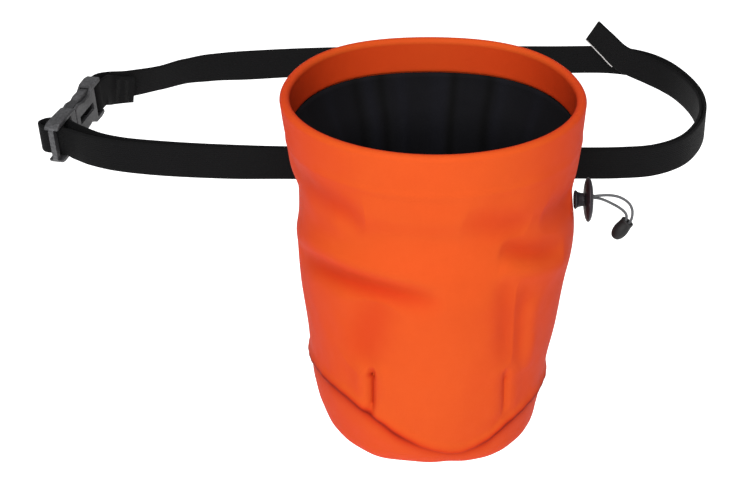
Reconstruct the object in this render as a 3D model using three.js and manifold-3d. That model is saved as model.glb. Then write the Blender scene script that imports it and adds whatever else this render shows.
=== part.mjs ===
// A climbing chalk bag on its waist belt, in millimetres, with Z up.
// The origin is the middle of the belt loop, at half the height of the webbing. X runs across the
// wearer, towards the side that the drawcord is on, and Y runs from the bag towards the wearer.
import * as THREE from 'three';
import * as BufferGeometryUtils from 'three/addons/utils/BufferGeometryUtils.js';
import Module from 'manifold-3d';

const wasm = await Module();
wasm.setup();

// Bag
const BAG_WIDTH = 125.8;
const BAG_DEPTH = 124;
const BAG_HEIGHT = 167;
const RIM_WALL = 4.2;
const FACING_HEIGHT = 16;
const FACING_WALL = 2.7;
const SHELL_WALL = 1.4;
const LINING_WALL = 1.1;
const FOLD_RISE = 2.8;
const PLEAT_RISE = 3.4;
const BACK_FULLNESS = 3;

// Belt
const WEB_WIDTH = 15;
const WEB_THICK = 1.3;
const LOOP_WIDTH = 313;
const LOOP_DEPTH = 123;
const BELT_BELOW_RIM = 61.3;
const BAG_ASIDE = 21;
const KEEPER_WIDTH = 26;
const KEEPER_THICK = 1.3;
const KEEPER_PAD = 9;
const KEEPER_SLACK = 1.2;
const LABEL_LENGTH = 20;
const LABEL_WIDTH = 13.4;
const LABEL_THICK = 0.6;

// Buckle
const BUCKLE_LENGTH = 50;
const BUCKLE_WIDTH = 21;
const BUCKLE_THICK = 7.2;
const BUCKLE_SHELL = 1.3;
const BAR = 3.2;
const BAR_THICK = 2.6;
const SLOT = 4.6;
const SHOULDER = 5;
const PRONG = 3.2;
const BUCKLE_SOFTEN = 0.7;
const FACE_SLOT = 4;

// Drawcord
const LOCK_DIAMETER = 19;
const LOCK_THICK = 3.4;
const LOCK_BELOW_RIM = 49.5;
const EYELET_DIAMETER = 8;
const EYELET_LENGTH = 4;
const CORD_DIAMETER = 1.2;
const CORD_END_LENGTH = 10;
const CORD_END_WIDTH = 6.4;
const CORD_END_WALL = 0.8;

// Fits
const CLEAR = 0.3;

const deg = THREE.MathUtils.degToRad;
const lerp = THREE.MathUtils.lerp;
const rimHalf = BAG_WIDTH / 2;
const roundness = BAG_DEPTH / BAG_WIDTH;

// Each row is one level of the bag, from the rim to the middle of the base: how far it lies below the
// rim as a share of BAG_HEIGHT, and how far its left and right side reach as a share of half BAG_WIDTH.
const SECTIONS = [
  { down: 0.013, left: 1.000, right: 1.000 },
  { down: 0.048, left: 0.987, right: 0.993 },
  { down: 0.120, left: 0.962, right: 0.979 },
  { down: 0.180, left: 0.938, right: 0.963 },
  { down: 0.235, left: 0.893, right: 0.938 },
  { down: 0.290, left: 0.888, right: 0.946 },
  { down: 0.350, left: 0.892, right: 0.964 },
  { down: 0.410, left: 0.903, right: 0.956 },
  { down: 0.480, left: 0.892, right: 0.926 },
  { down: 0.550, left: 0.874, right: 0.898 },
  { down: 0.625, left: 0.852, right: 0.874 },
  { down: 0.700, left: 0.833, right: 0.840 },
  { down: 0.770, left: 0.816, right: 0.816 },
  { down: 0.823, left: 0.796, right: 0.796 },
  { down: 0.863, left: 0.766, right: 0.774 },
  { down: 0.899, left: 0.720, right: 0.742 },
  { down: 0.927, left: 0.655, right: 0.692 },
  { down: 0.948, left: 0.560, right: 0.600 },
  { down: 0.965, left: 0.415, right: 0.450 },
  { down: 0.982, left: 0.210, right: 0.230 },
  { down: 1.000, left: 0.000, right: 0.000 },
];
const LAST = SECTIONS.length - 1;

// The seam between the body and the base panel dips at the front. Angles go round the bag in degrees,
// from the front towards the right, and down is a share of BAG_HEIGHT.
const SEAM = [
  { angle: -180, down: 0.770 },
  { angle: -110, down: 0.742 },
  { angle: -68, down: 0.726 },
  { angle: -47, down: 0.734 },
  { angle: -29, down: 0.768 },
  { angle: -15, down: 0.818 },
  { angle: 2, down: 0.862 },
  { angle: 14, down: 0.876 },
  { angle: 28, down: 0.856 },
  { angle: 40, down: 0.820 },
  { angle: 60, down: 0.792 },
  { angle: 110, down: 0.776 },
  { angle: 180, down: 0.770 },
];

// Dents and ridges of the cloth, each along a line between two places. Width is a share of half
// BAG_WIDTH and rise a share of FOLD_RISE, below zero for a dent.
const FOLDS = [
  { from: [-66, 0.17], to: [-40, 0.19], width: 0.13, rise: -0.70 },
  { from: [70, 0.24], to: [56, 0.22], width: 0.13, rise: -0.55 },
  { from: [20, 0.18], to: [33, 0.23], width: 0.12, rise: -0.35 },
  { from: [-80, 0.35], to: [-44, 0.315], width: 0.085, rise: 0.60 },
  { from: [-44, 0.315], to: [-4, 0.335], width: 0.080, rise: 0.55 },
  { from: [-66, 0.385], to: [-34, 0.375], width: 0.075, rise: -0.95 },
  { from: [-34, 0.375], to: [-6, 0.385], width: 0.070, rise: -0.65 },
  { from: [-24, 0.42], to: [-34, 0.59], width: 0.16, rise: -0.45 },
  { from: [34, 0.285], to: [52, 0.345], width: 0.075, rise: -0.75 },
  { from: [34, 0.325], to: [60, 0.385], width: 0.080, rise: 0.55 },
  { from: [29, 0.37], to: [33, 0.59], width: 0.065, rise: -0.35 },
  { from: [37, 0.39], to: [43, 0.61], width: 0.065, rise: -0.35 },
  { from: [-130, 0.33], to: [-165, 0.42], width: 0.11, rise: -0.50 },
  { from: [125, 0.42], to: [160, 0.52], width: 0.11, rise: -0.45 },
];

// The two darts above the seam, as grooves with a puff of cloth on each side.
const DARTS = [
  { from: [-28, 0.605], to: [-29.5, 0.752], width: 0.038, rise: -0.60 },
  { from: [34.5, 0.612], to: [37.5, 0.765], width: 0.038, rise: -0.45 },
];
const DART_PUFF = { aside: 5.5, width: 0.075, share: -0.55 };

// The soft upright folds of the lining, which fade out at its top and at the base.
const PLEATS = [
  { angle: -160, width: 13, rise: 0.80 },
  { angle: -128, width: 10, rise: 0.55 },
  { angle: 168, width: 12, rise: 0.90 },
  { angle: 141, width: 9, rise: 0.60 },
  { angle: 104, width: 12, rise: 0.70 },
  { angle: 52, width: 14, rise: 0.60 },
  { angle: 4, width: 13, rise: 0.70 },
  { angle: -46, width: 14, rise: 0.60 },
  { angle: -92, width: 12, rise: 0.75 },
];

// Smooth value between four neighbours of a table.
function between(before, here, next, after, share) {
  const slopeHere = (next - before) / 2;
  const slopeNext = (after - here) / 2;
  const square = share * share;
  const cube = square * share;
  return here * (2 * cube - 3 * square + 1) + slopeHere * (cube - 2 * square + share)
    + next * (3 * square - 2 * cube) + slopeNext * (cube - square);
}

function sectionAt(row) {
  const index = Math.min(Math.floor(row), LAST - 1);
  const rows = [index - 1, index, index + 1, index + 2].map((i) => SECTIONS[THREE.MathUtils.clamp(i, 0, LAST)]);
  const value = (key) => between(...rows.map((entry) => entry[key]), row - index);
  return { down: value('down') * BAG_HEIGHT, left: value('left') * rimHalf, right: value('right') * rimHalf };
}

// The row of SECTIONS, with its fraction, that lies a given height below the rim.
function rowAt(down) {
  let low = 0;
  let high = LAST;
  for (let i = 0; i < 30; i += 1) {
    const middle = (low + high) / 2;
    if (sectionAt(middle).down < down) {
      low = middle;
    } else {
      high = middle;
    }
  }
  return (low + high) / 2;
}

function seamDown(angle) {
  const turned = THREE.MathUtils.euclideanModulo(angle + 180, 360) - 180;
  const next = Math.max(1, SEAM.findIndex((entry) => entry.angle > turned));
  const a = SEAM[next - 1];
  const b = SEAM[next];
  return BAG_HEIGHT * lerp(a.down, b.down, THREE.MathUtils.smoothstep(turned, a.angle, b.angle));
}

// Bell-shaped rise of the cloth around a line, measured on the unrolled surface.
function bell(angle, down, fold, aside = 0) {
  const unroll = deg(1) * rimHalf;
  const from = new THREE.Vector2((fold.from[0] + aside) * unroll, fold.from[1] * BAG_HEIGHT);
  const along = new THREE.Vector2((fold.to[0] + aside) * unroll, fold.to[1] * BAG_HEIGHT).sub(from);
  const turned = THREE.MathUtils.euclideanModulo(angle - fold.from[0] + 180, 360) - 180 + fold.from[0];
  const here = new THREE.Vector2(turned * unroll, down).sub(from);
  const share = THREE.MathUtils.clamp(here.dot(along) / along.lengthSq(), 0, 1);
  const apart = here.addScaledVector(along, -share).length() / (fold.width * rimHalf);
  return Math.exp(-apart * apart);
}

// Where folds cross, the highest ridge and the deepest dent count.
function reliefAt(angle, down) {
  let ridge = 0;
  let dent = 0;
  for (const fold of FOLDS) {
    const rise = fold.rise * bell(angle, down, fold);
    ridge = Math.max(ridge, rise);
    dent = Math.min(dent, rise);
  }
  for (const dart of DARTS) {
    const puff = { ...dart, width: DART_PUFF.width };
    const sides = bell(angle, down, puff, -DART_PUFF.aside) + bell(angle, down, puff, DART_PUFF.aside);
    ridge = Math.max(ridge, DART_PUFF.share * dart.rise * sides);
    dent = Math.min(dent, dart.rise * bell(angle, down, dart));
  }
  return (ridge + dent) * FOLD_RISE;
}

// How far the bag reaches from its axis at an angle and a row of SECTIONS. The back corners are fuller.
function reach(angle, row) {
  const section = sectionAt(row);
  const side = 0.5 + 0.5 * Math.sin(deg(angle));
  const back = Math.max(0, -Math.cos(deg(angle)));
  const full = BACK_FULLNESS * back * Math.sin(deg(2 * angle)) ** 2 * (1 - section.down / BAG_HEIGHT);
  return { out: lerp(section.left, section.right, side) + full * Math.min(1, section.left), down: section.down };
}

// Middle of the bag's rim. The belt runs past the bag's back, held by the keeper.
const BACK = 180;
const beltStack = 2 * WEB_THICK + CLEAR + KEEPER_SLACK;
const nearMiddle = -LOOP_DEPTH / 2;
const axisX = BAG_ASIDE;
const rimTop = BELT_BELOW_RIM;
const beltGap = WEB_THICK / 2 + CLEAR;
const backReach = Math.max(...[-8, 0, 8].flatMap((turn) => [-0.6, -0.3, 0, 0.3, 0.6].map(
  (step) => roundness * skinReach(BACK + turn, BELT_BELOW_RIM + step * WEB_WIDTH),
)));
const axisY = nearMiddle - beltGap - backReach;

function skinReach(angle, down) {
  return reach(angle, rowAt(down)).out + reliefAt(angle, down);
}

// A point of the cloth, a given depth below its outer face, with or without the folds.
function skin(angle, row, inset, folded = true) {
  const step = 0.02;
  const here = reach(angle, row);
  const above = reach(angle, Math.max(0, row - step));
  const below = reach(angle, Math.min(LAST, row + step));
  const normal = new THREE.Vector2(below.down - above.down, above.out - below.out).normalize();
  if (row >= LAST) {
    normal.set(0, 1);
  }
  const shift = (folded ? reliefAt(angle, here.down) : 0) - inset;
  return place(angle, Math.max(0, here.out + normal.x * shift), here.down + normal.y * shift);
}

function place(angle, out, down) {
  const turn = deg(angle);
  return new THREE.Vector3(axisX + out * Math.sin(turn), axisY - roundness * out * Math.cos(turn), rimTop - down);
}

// Columns round the bag: evenly spaced, with closer ones at the darts.
function columns(count, withDarts) {
  const even = Array.from({ length: count }, (_, i) => -180 + (360 * i) / count);
  if (!withDarts) {
    return even;
  }
  const close = DARTS.flatMap((dart) => {
    const middle = (dart.from[0] + dart.to[0]) / 2;
    return [-5.2, -2.4, 0, 2.4, 5.2].map((turn) => middle + turn);
  });
  const apart = even.filter((angle) => close.every((other) => Math.abs(angle - other) > 2.2));
  return [...apart, ...close].sort((a, b) => a - b);
}

// A closed body from rings of points. A ring of one point is a pole; without poles the last ring
// meets the first.
function lofted(rings) {
  const points = [];
  const starts = rings.map((ring) => {
    points.push(...ring);
    return points.length - ring.length;
  });
  const faces = [];
  const size = Math.max(...rings.map((ring) => ring.length));
  const isOpen = rings[0].length === 1 || rings[rings.length - 1].length === 1;
  const bands = isOpen ? rings.length - 1 : rings.length;
  for (let band = 0; band < bands; band += 1) {
    const upper = band;
    const lower = (band + 1) % rings.length;
    const at = (ring, i) => starts[ring] + (rings[ring].length === 1 ? 0 : i % size);
    for (let i = 0; i < size; i += 1) {
      const corners = [at(upper, i), at(lower, i), at(lower, i + 1), at(upper, i + 1)];
      if (corners[0] !== corners[3]) {
        faces.push(corners[0], corners[1], corners[3]);
      }
      if (corners[1] !== corners[2]) {
        faces.push(corners[1], corners[2], corners[3]);
      }
    }
  }
  const geometry = new THREE.BufferGeometry();
  geometry.setAttribute('position', new THREE.Float32BufferAttribute(points.flatMap((p) => p.toArray()), 3));
  geometry.setIndex(faces);
  return facingOut(geometry);
}

// Turns the faces round where the body's volume comes out below zero.
function facingOut(geometry) {
  const position = geometry.getAttribute('position');
  const index = geometry.getIndex();
  const corner = (i) => new THREE.Vector3().fromBufferAttribute(position, index.getX(i));
  let volume = 0;
  for (let i = 0; i < index.count; i += 3) {
    volume += corner(i).dot(corner(i + 1).cross(corner(i + 2)));
  }
  if (volume < 0) {
    for (let i = 0; i < index.count; i += 3) {
      const swap = index.getX(i);
      index.setX(i, index.getX(i + 1));
      index.setX(i + 1, swap);
    }
  }
  geometry.computeVertexNormals();
  return geometry;
}

// Outer body: the cloth from the seam up to the rim, over it, and down the facing inside.
function shellBody() {
  const angles = columns(56, true);
  const lip = RIM_WALL / 2;
  const atDown = (down, inset) => angles.map((angle) => skin(angle, rowAt(down), inset));
  const bodyShares = [0.08, 0.15, 0.22, 0.29, 0.35, 0.41, 0.47, 0.54, 0.62, 0.70, 0.78, 0.86, 0.93, 1];
  const bodyRows = (inset) => bodyShares.map((share) => angles.map(
    (angle) => skin(angle, rowAt(lerp(FACING_HEIGHT, seamDown(angle), share)), inset),
  ));
  const rings = bodyRows(SHELL_WALL).reverse();
  rings.push(atDown(FACING_HEIGHT, SHELL_WALL));
  rings.push(atDown(FACING_HEIGHT - CLEAR, FACING_WALL));
  rings.push(atDown((FACING_HEIGHT + lip) / 2, (FACING_WALL + RIM_WALL) / 2));
  for (let step = 0; step <= 4; step += 1) {
    const turn = Math.PI * (1 - step / 4);
    const down = lip * (1 - Math.sin(turn));
    rings.push(angles.map((angle) => place(angle, reach(angle, 0).out - lip + lip * Math.cos(turn), down)));
  }
  rings.push(atDown((FACING_HEIGHT + lip) / 2, 0), atDown(FACING_HEIGHT, 0), ...bodyRows(0));
  return lofted(rings);
}

// Base panel: a shallow cup whose edge meets the body's at the seam.
function basePanel() {
  const angles = columns(56, true);
  const edge = (angle) => rowAt(seamDown(angle) + CLEAR);
  const layer = (inset, shares) => shares.map((share) => angles.map(
    (angle) => skin(angle, lerp(edge(angle), LAST, share), inset),
  ));
  const outer = layer(0, [0, 0.12, 0.26, 0.42, 0.58, 0.72, 0.84, 0.93]);
  const inner = layer(SHELL_WALL, [0.93, 0.75, 0.5, 0.25, 0]);
  const pole = (inset) => [skin(0, LAST, inset)];
  return loftedCup(outer, pole(0), pole(SHELL_WALL), inner);
}

// A cup has two walls that meet at its edge, and a pole in the middle of each.
function loftedCup(outer, outerPole, innerPole, inner) {
  return lofted([outerPole, ...[...outer].reverse(), ...[...inner].reverse(), innerPole]);
}

// Lining: a loose pouch with upright folds, hung below the facing. It stands off the folds of the cloth.
function lining() {
  const angles = columns(48, false);
  const top = FACING_HEIGHT + CLEAR;
  const pleatsAt = (angle) => PLEATS.reduce((rise, pleat) => {
    const apart = (THREE.MathUtils.euclideanModulo(angle - pleat.angle + 180, 360) - 180) / pleat.width;
    return rise + pleat.rise * Math.exp(-apart * apart);
  }, 0);
  const looseAt = (angle, share) => {
    const slack = FOLD_RISE * THREE.MathUtils.smoothstep(share, 0, 0.1) * (1 - 0.7 * share);
    const fade = THREE.MathUtils.smoothstep(share, 0, 0.2) * (1 - THREE.MathUtils.smoothstep(share, 0.45, 0.8));
    return 1.1 * slack + PLEAT_RISE * fade * pleatsAt(angle);
  };
  const start = rowAt(top);
  const layer = (inset, shares) => shares.map((share) => angles.map(
    (angle) => skin(angle, lerp(start, LAST, share), inset + looseAt(angle, share), share === 0),
  ));
  const outside = SHELL_WALL + CLEAR;
  const inside = outside + LINING_WALL;
  const shares = [0, 0.05, 0.12, 0.22, 0.34, 0.46, 0.58, 0.70, 0.80, 0.88, 0.95];
  const pole = (inset) => [skin(0, LAST, inset + looseAt(0, 1), false)];
  return loftedCup(layer(outside, shares), pole(outside), pole(inside), layer(inside, shares).reverse());
}

// The part of a direction that is square to the way a strip runs.
function square(direction, along) {
  return direction.clone().addScaledVector(along, -direction.dot(along)).normalize();
}

// Frames of a strip: where its middle runs, the way it goes, and the way its width stands.
function frames(stations) {
  const path = new THREE.CatmullRomCurve3(stations.map((station) => station.at), false, 'centripetal');
  const last = stations.length - 1;
  const result = [];
  for (let i = 0; i < last; i += 1) {
    const a = stations[i];
    const b = stations[i + 1];
    const turn = path.getTangent(i / last).angleTo(path.getTangent((i + 1) / last));
    const twist = square(a.up, path.getTangent(i / last)).angleTo(square(b.up, path.getTangent((i + 1) / last)));
    const long = a.at.distanceTo(b.at) / (2 * WEB_WIDTH);
    const steps = Math.ceil(Math.max(1, turn / deg(16), twist / deg(2.5), long));
    for (let step = 0; step < steps + (i === last - 1 ? 1 : 0); step += 1) {
      const share = step / steps;
      const along = path.getTangent((i + share) / last);
      const up = square(a.up.clone().lerp(b.up, THREE.MathUtils.smoothstep(share, 0, 1)), along);
      result.push({ at: path.getPoint((i + share) / last), along, up, side: new THREE.Vector3().crossVectors(along, up) });
    }
  }
  return result;
}

// A strip of webbing along frames, moved to one side of them where shift isn't zero.
function strip(along, width, thick, shift = 0) {
  const corners = [[1, 1], [1, -1], [-1, -1], [-1, 1]];
  const rings = along.map((frame) => corners.map(([w, t]) => frame.at.clone()
    .addScaledVector(frame.up, (w * width) / 2)
    .addScaledVector(frame.side, (t * thick) / 2 + shift)));
  const cap = (frame) => [frame.at.clone().addScaledVector(frame.side, shift)];
  return lofted([cap(along[0]), ...rings, cap(along[along.length - 1])]);
}

// The buckle lies at the left end of the loop. Its own axes are: across its width, along its length from
// the adjusting half to the sewn half, and out of the loop.
const BUCKLE_NEAR = { x: -0.985, y: -0.545, z: -0.28 };
const BUCKLE_AIM = new THREE.Vector3(0.280, 0.953, 0.115).normalize();
const BUCKLE_LEAN = new THREE.Vector3(0.055, 0.105, -0.99);
const buckleOut = new THREE.Vector3().crossVectors(BUCKLE_AIM, BUCKLE_LEAN).normalize();
const buckleAcross = new THREE.Vector3().crossVectors(BUCKLE_AIM, buckleOut).normalize();
const buckleNear = new THREE.Vector3(
  (BUCKLE_NEAR.x * LOOP_WIDTH) / 2,
  (BUCKLE_NEAR.y * LOOP_DEPTH) / 2,
  BUCKLE_NEAR.z * WEB_WIDTH,
);
const buckleFrame = new THREE.Matrix4().makeBasis(buckleAcross, BUCKLE_AIM, buckleOut).setPosition(buckleNear);
const slotWidth = WEB_WIDTH + 4 * CLEAR;
const adjustBar = BAR + SLOT + BAR / 2;
const farBar = BUCKLE_LENGTH - BAR / 2;
const wrap = Math.hypot(BAR, BAR_THICK) / 2 + CLEAR + WEB_THICK / 2;

function onBuckle(along, out) {
  return { at: new THREE.Vector3(0, along, out).applyMatrix4(buckleFrame), up: buckleAcross };
}

// Half a turn of webbing round a bar of the buckle.
function roundBar(bar, from, to, steps) {
  return Array.from({ length: steps + 1 }, (_, i) => {
    const turn = deg(lerp(from, to, i / steps));
    return onBuckle(bar + wrap * Math.cos(turn), wrap * Math.sin(turn));
  });
}

// Stations of the belt, from the buckle's sewn half round the loop to its adjusting half. x is a share of
// half LOOP_WIDTH, y of half LOOP_DEPTH and z of WEB_WIDTH, and lean is in degrees: above zero, the
// lower edge stands nearer the bag.
const LOOP = [
  { x: -0.872, y: 0.440, z: 0.02, lean: 0 },
  { x: -0.804, y: 0.500, z: 0.00, lean: -8 },
  { x: -0.711, y: 0.618, z: 0.00, lean: -16 },
  { x: -0.638, y: 0.752, z: 0.00, lean: -12 },
  { x: -0.550, y: 0.836, z: 0.00, lean: 0 },
  { x: -0.414, y: 0.892, z: 0.00, lean: 15 },
  { x: -0.220, y: 0.955, z: 0.00, lean: 10 },
  { x: 0.150, y: 0.998, z: 0.00, lean: 0 },
  { x: 0.560, y: 1.004, z: 0.00, lean: 0 },
  { x: 0.770, y: 0.995, z: 0.00, lean: 0 },
  { x: 0.861, y: 0.893, z: 0.00, lean: 0 },
  { x: 0.922, y: 0.722, z: 0.00, lean: 0 },
  { x: 0.968, y: 0.455, z: 0.00, lean: 0 },
  { x: 0.997, y: 0.080, z: 0.00, lean: 0 },
  { x: 0.988, y: -0.255, z: 0.00, lean: 0 },
  { x: 0.950, y: -0.550, z: 0.00, lean: 0 },
  { x: 0.888, y: -0.795, z: 0.00, lean: 0 },
  { x: 0.800, y: -0.948, z: 0.00, lean: 0 },
  { x: 0.700, y: -0.995, z: 0.00, lean: 0 },
  { x: 0.480, y: -1.000, z: 0.00, lean: 0 },
];
const LOOP_LEFT = [
  { x: -0.260, y: -1.000, z: 0.00, lean: 4 },
  { x: -0.460, y: -0.985, z: 0.00, lean: 10 },
  { x: -0.650, y: -0.930, z: 0.00, lean: 12 },
  { x: -0.780, y: -0.830, z: -0.05, lean: 10 },
  { x: -0.866, y: -0.690, z: -0.14, lean: 6 },
  { x: -0.918, y: -0.560, z: -0.22, lean: 2 },
];

// The tail lies on the wearer's side of the belt. Slack is how far it stands off, as a share of WEB_WIDTH.
const TAIL_LEFT = [
  { x: -0.866, y: -0.690, z: -0.14, lean: 6, slack: 0.22 },
  { x: -0.780, y: -0.830, z: -0.05, lean: 9, slack: 0.14 },
  { x: -0.650, y: -0.930, z: 0.00, lean: 11, slack: 0.12 },
  { x: -0.460, y: -0.985, z: 0.00, lean: 9, slack: 0.10 },
  { x: -0.260, y: -1.000, z: 0.00, lean: 4, slack: 0.05 },
];
const TAIL_RIGHT = [
  { x: 0.480, y: -1.000, z: 0.00, lean: 0, slack: 0.01 },
  { x: 0.700, y: -0.995, z: 0.00, lean: 0, slack: 0.02 },
  { x: 0.800, y: -0.948, z: 0.00, lean: 0, slack: 0.02 },
  { x: 0.888, y: -0.795, z: 0.00, lean: 0, slack: 0.02 },
  { x: 0.950, y: -0.550, z: 0.00, lean: 0, slack: 0.03 },
  { x: 0.988, y: -0.255, z: 0.00, lean: 0, slack: 0.05 },
  { x: 0.997, y: 0.080, z: 0.00, lean: 0, slack: 0.08 },
];
const TAIL_END = [
  { x: 0.948, y: 0.430, z: 0.00, lean: 0 },
  { x: 0.908, y: 0.600, z: 0.05, lean: 0 },
  { x: 0.860, y: 0.700, z: 0.16, lean: -2 },
  { x: 0.782, y: 0.790, z: 0.44, lean: -6 },
  { x: 0.737, y: 0.862, z: 0.80, lean: -9 },
  { x: 0.691, y: 0.945, z: 1.18, lean: -12 },
];

// Turns rows of a loop table into stations.
function stationsOf(rows) {
  return rows.map((row) => {
    const at = new THREE.Vector3((row.x * LOOP_WIDTH) / 2, (row.y * LOOP_DEPTH) / 2, row.z * WEB_WIDTH);
    const lean = deg(row.lean);
    return { at, up: new THREE.Vector3(0, Math.sin(lean), Math.cos(lean)) };
  });
}

// Stations that keep clear of a strip along rows, on the wearer's side of it.
function insideOf(rows) {
  const here = stationsOf(rows);
  return here.map((station, i) => {
    const before = here[Math.max(0, i - 1)].at;
    const after = here[Math.min(here.length - 1, i + 1)].at;
    const along = after.clone().sub(before).setZ(0).normalize();
    const inward = new THREE.Vector3(along.y, -along.x, 0);
    if (inward.dot(station.at) > 0) {
      inward.negate();
    }
    const apart = WEB_THICK + CLEAR + rows[i].slack * WEB_WIDTH;
    return { at: station.at.clone().addScaledVector(inward, apart), up: station.up };
  });
}

// The fold-back of the sewn end lies on the wearer's side of the far strand, a little lower.
const SEWN_END = [
  { x: -0.792, y: 0.500, z: -0.16, lean: -8, slack: 0.02 },
  { x: -0.850, y: 0.452, z: -0.10, lean: -2, slack: 0.04 },
];

// At the adjusting half the webbing comes in through the first slot, stands off the adjusting bar in a
// loose fold on the outer side, and goes back through the second slot. Along is a share of BUCKLE_LENGTH,
// and out a share of WEB_WIDTH.
const LOOSE_FOLD = [
  { along: 0.104, out: -0.20 },
  { along: 0.114, out: 0.06 },
  { along: 0.106, out: 0.30 },
  { along: 0.116, out: 0.52 },
  { along: 0.168, out: 0.66 },
  { along: 0.232, out: 0.54 },
  { along: 0.264, out: 0.28 },
  { along: 0.266, out: 0.00 },
  { along: 0.254, out: -0.24 },
  { along: 0.214, out: -0.48 },
];

const beltStations = [
  ...insideOf(SEWN_END),
  onBuckle(farBar + 1.9 * wrap, -1.15 * wrap),
  ...roundBar(farBar, 290, 70, 8),
  onBuckle(farBar + 1.9 * wrap, 0.9 * wrap),
  ...stationsOf(LOOP),
  ...stationsOf(LOOP_LEFT),
  ...LOOSE_FOLD.map(({ along, out }) => onBuckle(along * BUCKLE_LENGTH, out * WEB_WIDTH)),
  ...insideOf(TAIL_LEFT),
  ...insideOf(TAIL_RIGHT),
  ...stationsOf(TAIL_END),
];
const beltFrames = frames(beltStations);

// Part of the belt's frames, back from its free end over a given length.
function freeEnd(length) {
  const result = [beltFrames[beltFrames.length - 1]];
  let run = 0;
  for (let i = beltFrames.length - 2; i > 0 && run < length; i -= 1) {
    run += beltFrames[i].at.distanceTo(beltFrames[i + 1].at);
    result.unshift(beltFrames[i]);
  }
  return result;
}

// Keeper: a short strip sewn to the bag above and below the belt, which passes behind its middle.
function beltKeeper() {
  const half = WEB_WIDTH / 2 + CLEAR;
  const seat = (middle) => Math.max(...[-0.5, 0, 0.5].flatMap((step) => [-3, 0, 3].map(
    (turn) => roundness * skinReach(BACK + turn, middle + step * KEEPER_PAD),
  )));
  const padAbove = axisY + seat(BELT_BELOW_RIM - half - KEEPER_THICK - KEEPER_PAD / 2) + CLEAR;
  const padBelow = axisY + seat(BELT_BELOW_RIM + half + KEEPER_THICK + KEEPER_PAD / 2) + CLEAR;
  const bridge = nearMiddle - WEB_THICK / 2 + beltStack;
  const inner = half;
  const outer = half + KEEPER_THICK;
  const end = outer + KEEPER_PAD;
  const outline = new THREE.Shape([
    [padAbove, end], [padAbove, inner], [bridge, inner], [bridge, -inner], [padBelow, -inner], [padBelow, -end],
    [padBelow + KEEPER_THICK, -end], [padBelow + KEEPER_THICK, -outer], [bridge + KEEPER_THICK, -outer],
    [bridge + KEEPER_THICK, outer], [padAbove + KEEPER_THICK, outer], [padAbove + KEEPER_THICK, end],
  ].map(([y, z]) => new THREE.Vector2(y, z)));
  const geometry = new THREE.ExtrudeGeometry(outline, { depth: KEEPER_WIDTH, bevelEnabled: false });
  const axes = new THREE.Matrix4().makeBasis(
    new THREE.Vector3(0, 1, 0),
    new THREE.Vector3(0, 0, 1),
    new THREE.Vector3(1, 0, 0),
  );
  return geometry.applyMatrix4(axes.setPosition(axisX - KEEPER_WIDTH / 2, 0, 0));
}

// A plate with a rounded outline and softened edges, centred in its thickness.
function plate(points, thick, soften) {
  const shape = new THREE.Shape(points.map(([x, y]) => new THREE.Vector2(x, y)));
  const geometry = new THREE.ExtrudeGeometry(shape, {
    depth: thick - 2 * soften,
    bevelThickness: soften,
    bevelSize: soften,
    bevelOffset: -soften,
    bevelSegments: 2,
    bevelEnabled: soften > 0,
  });
  return geometry.translate(0, 0, soften - thick / 2);
}

function block(width, from, to, thick, middle = 0) {
  return new THREE.BoxGeometry(width, to - from, thick).translate(0, (from + to) / 2, middle);
}

function solid(geometry) {
  const bare = geometry.clone();
  bare.deleteAttribute('normal');
  bare.deleteAttribute('uv');
  const merged = BufferGeometryUtils.mergeVertices(bare, 1e-4);
  return new wasm.Manifold(new wasm.Mesh({
    numProp: 3,
    vertProperties: new Float32Array(merged.getAttribute('position').array),
    triVerts: new Uint32Array(merged.getIndex().array),
  }));
}

function geometryOf(manifold) {
  const mesh = manifold.getMesh();
  const geometry = new THREE.BufferGeometry();
  geometry.setAttribute('position', new THREE.BufferAttribute(new Float32Array(mesh.vertProperties), 3));
  geometry.setIndex(new THREE.BufferAttribute(new Uint32Array(mesh.triVerts), 1));
  geometry.computeVertexNormals();
  return geometry;
}

// The two halves meet where the sewn half's mouth stands off the adjusting half's shoulder.
const mouth = 2 * BAR + 2 * SLOT + SHOULDER + CLEAR;
const socketEnd = farBar - BAR / 2 - SLOT - BUCKLE_SHELL;
const socketThick = BUCKLE_THICK - 2 * BUCKLE_SHELL;
const socketWidth = BUCKLE_WIDTH - 2 * BUCKLE_SHELL;
const windowFrom = lerp(mouth, socketEnd, 0.3);
const windowTo = lerp(mouth, socketEnd, 0.92);

// Both sides of an outline from its right half.
function mirrored(rightHalf) {
  return [...rightHalf, ...rightHalf.map(([x, y]) => [-x, y]).reverse()];
}

// Sewn half: a flat socket with a narrow waist, open at its sides, a slot along the middle of each face
// and a bar at its end for the webbing.
function buckleSocket() {
  const half = BUCKLE_WIDTH / 2;
  const outline = mirrored([
    [half * 0.80, mouth], [half * 0.86, mouth + BAR], [half * 0.72, windowFrom + BAR], [half * 0.72, windowTo - BAR],
    [half * 0.98, socketEnd], [half, BUCKLE_LENGTH - BAR], [half * 0.93, BUCKLE_LENGTH],
  ]);
  const barEdge = farBar - BAR / 2;
  const faceCut = (BUCKLE_THICK - BAR_THICK) / 2;
  const faceMiddle = (BAR_THICK + faceCut) / 2;
  const cuts = [
    block(socketWidth, mouth - BAR, socketEnd, socketThick),
    block(BUCKLE_WIDTH * 2, windowFrom, windowTo, socketThick),
    block(FACE_SLOT, mouth + BAR, windowTo, BUCKLE_THICK * 2),
    block(slotWidth, barEdge - SLOT, barEdge, BUCKLE_THICK * 2),
    block(slotWidth, barEdge - SLOT, BUCKLE_LENGTH + BAR, faceCut * 1.001, faceMiddle),
    block(slotWidth, barEdge - SLOT, BUCKLE_LENGTH + BAR, faceCut * 1.001, -faceMiddle),
  ];
  return geometryOf(cuts.reduce(
    (body, cut) => body.subtract(solid(cut)),
    solid(plate(outline, BUCKLE_THICK, BUCKLE_SOFTEN)),
  ));
}

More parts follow.
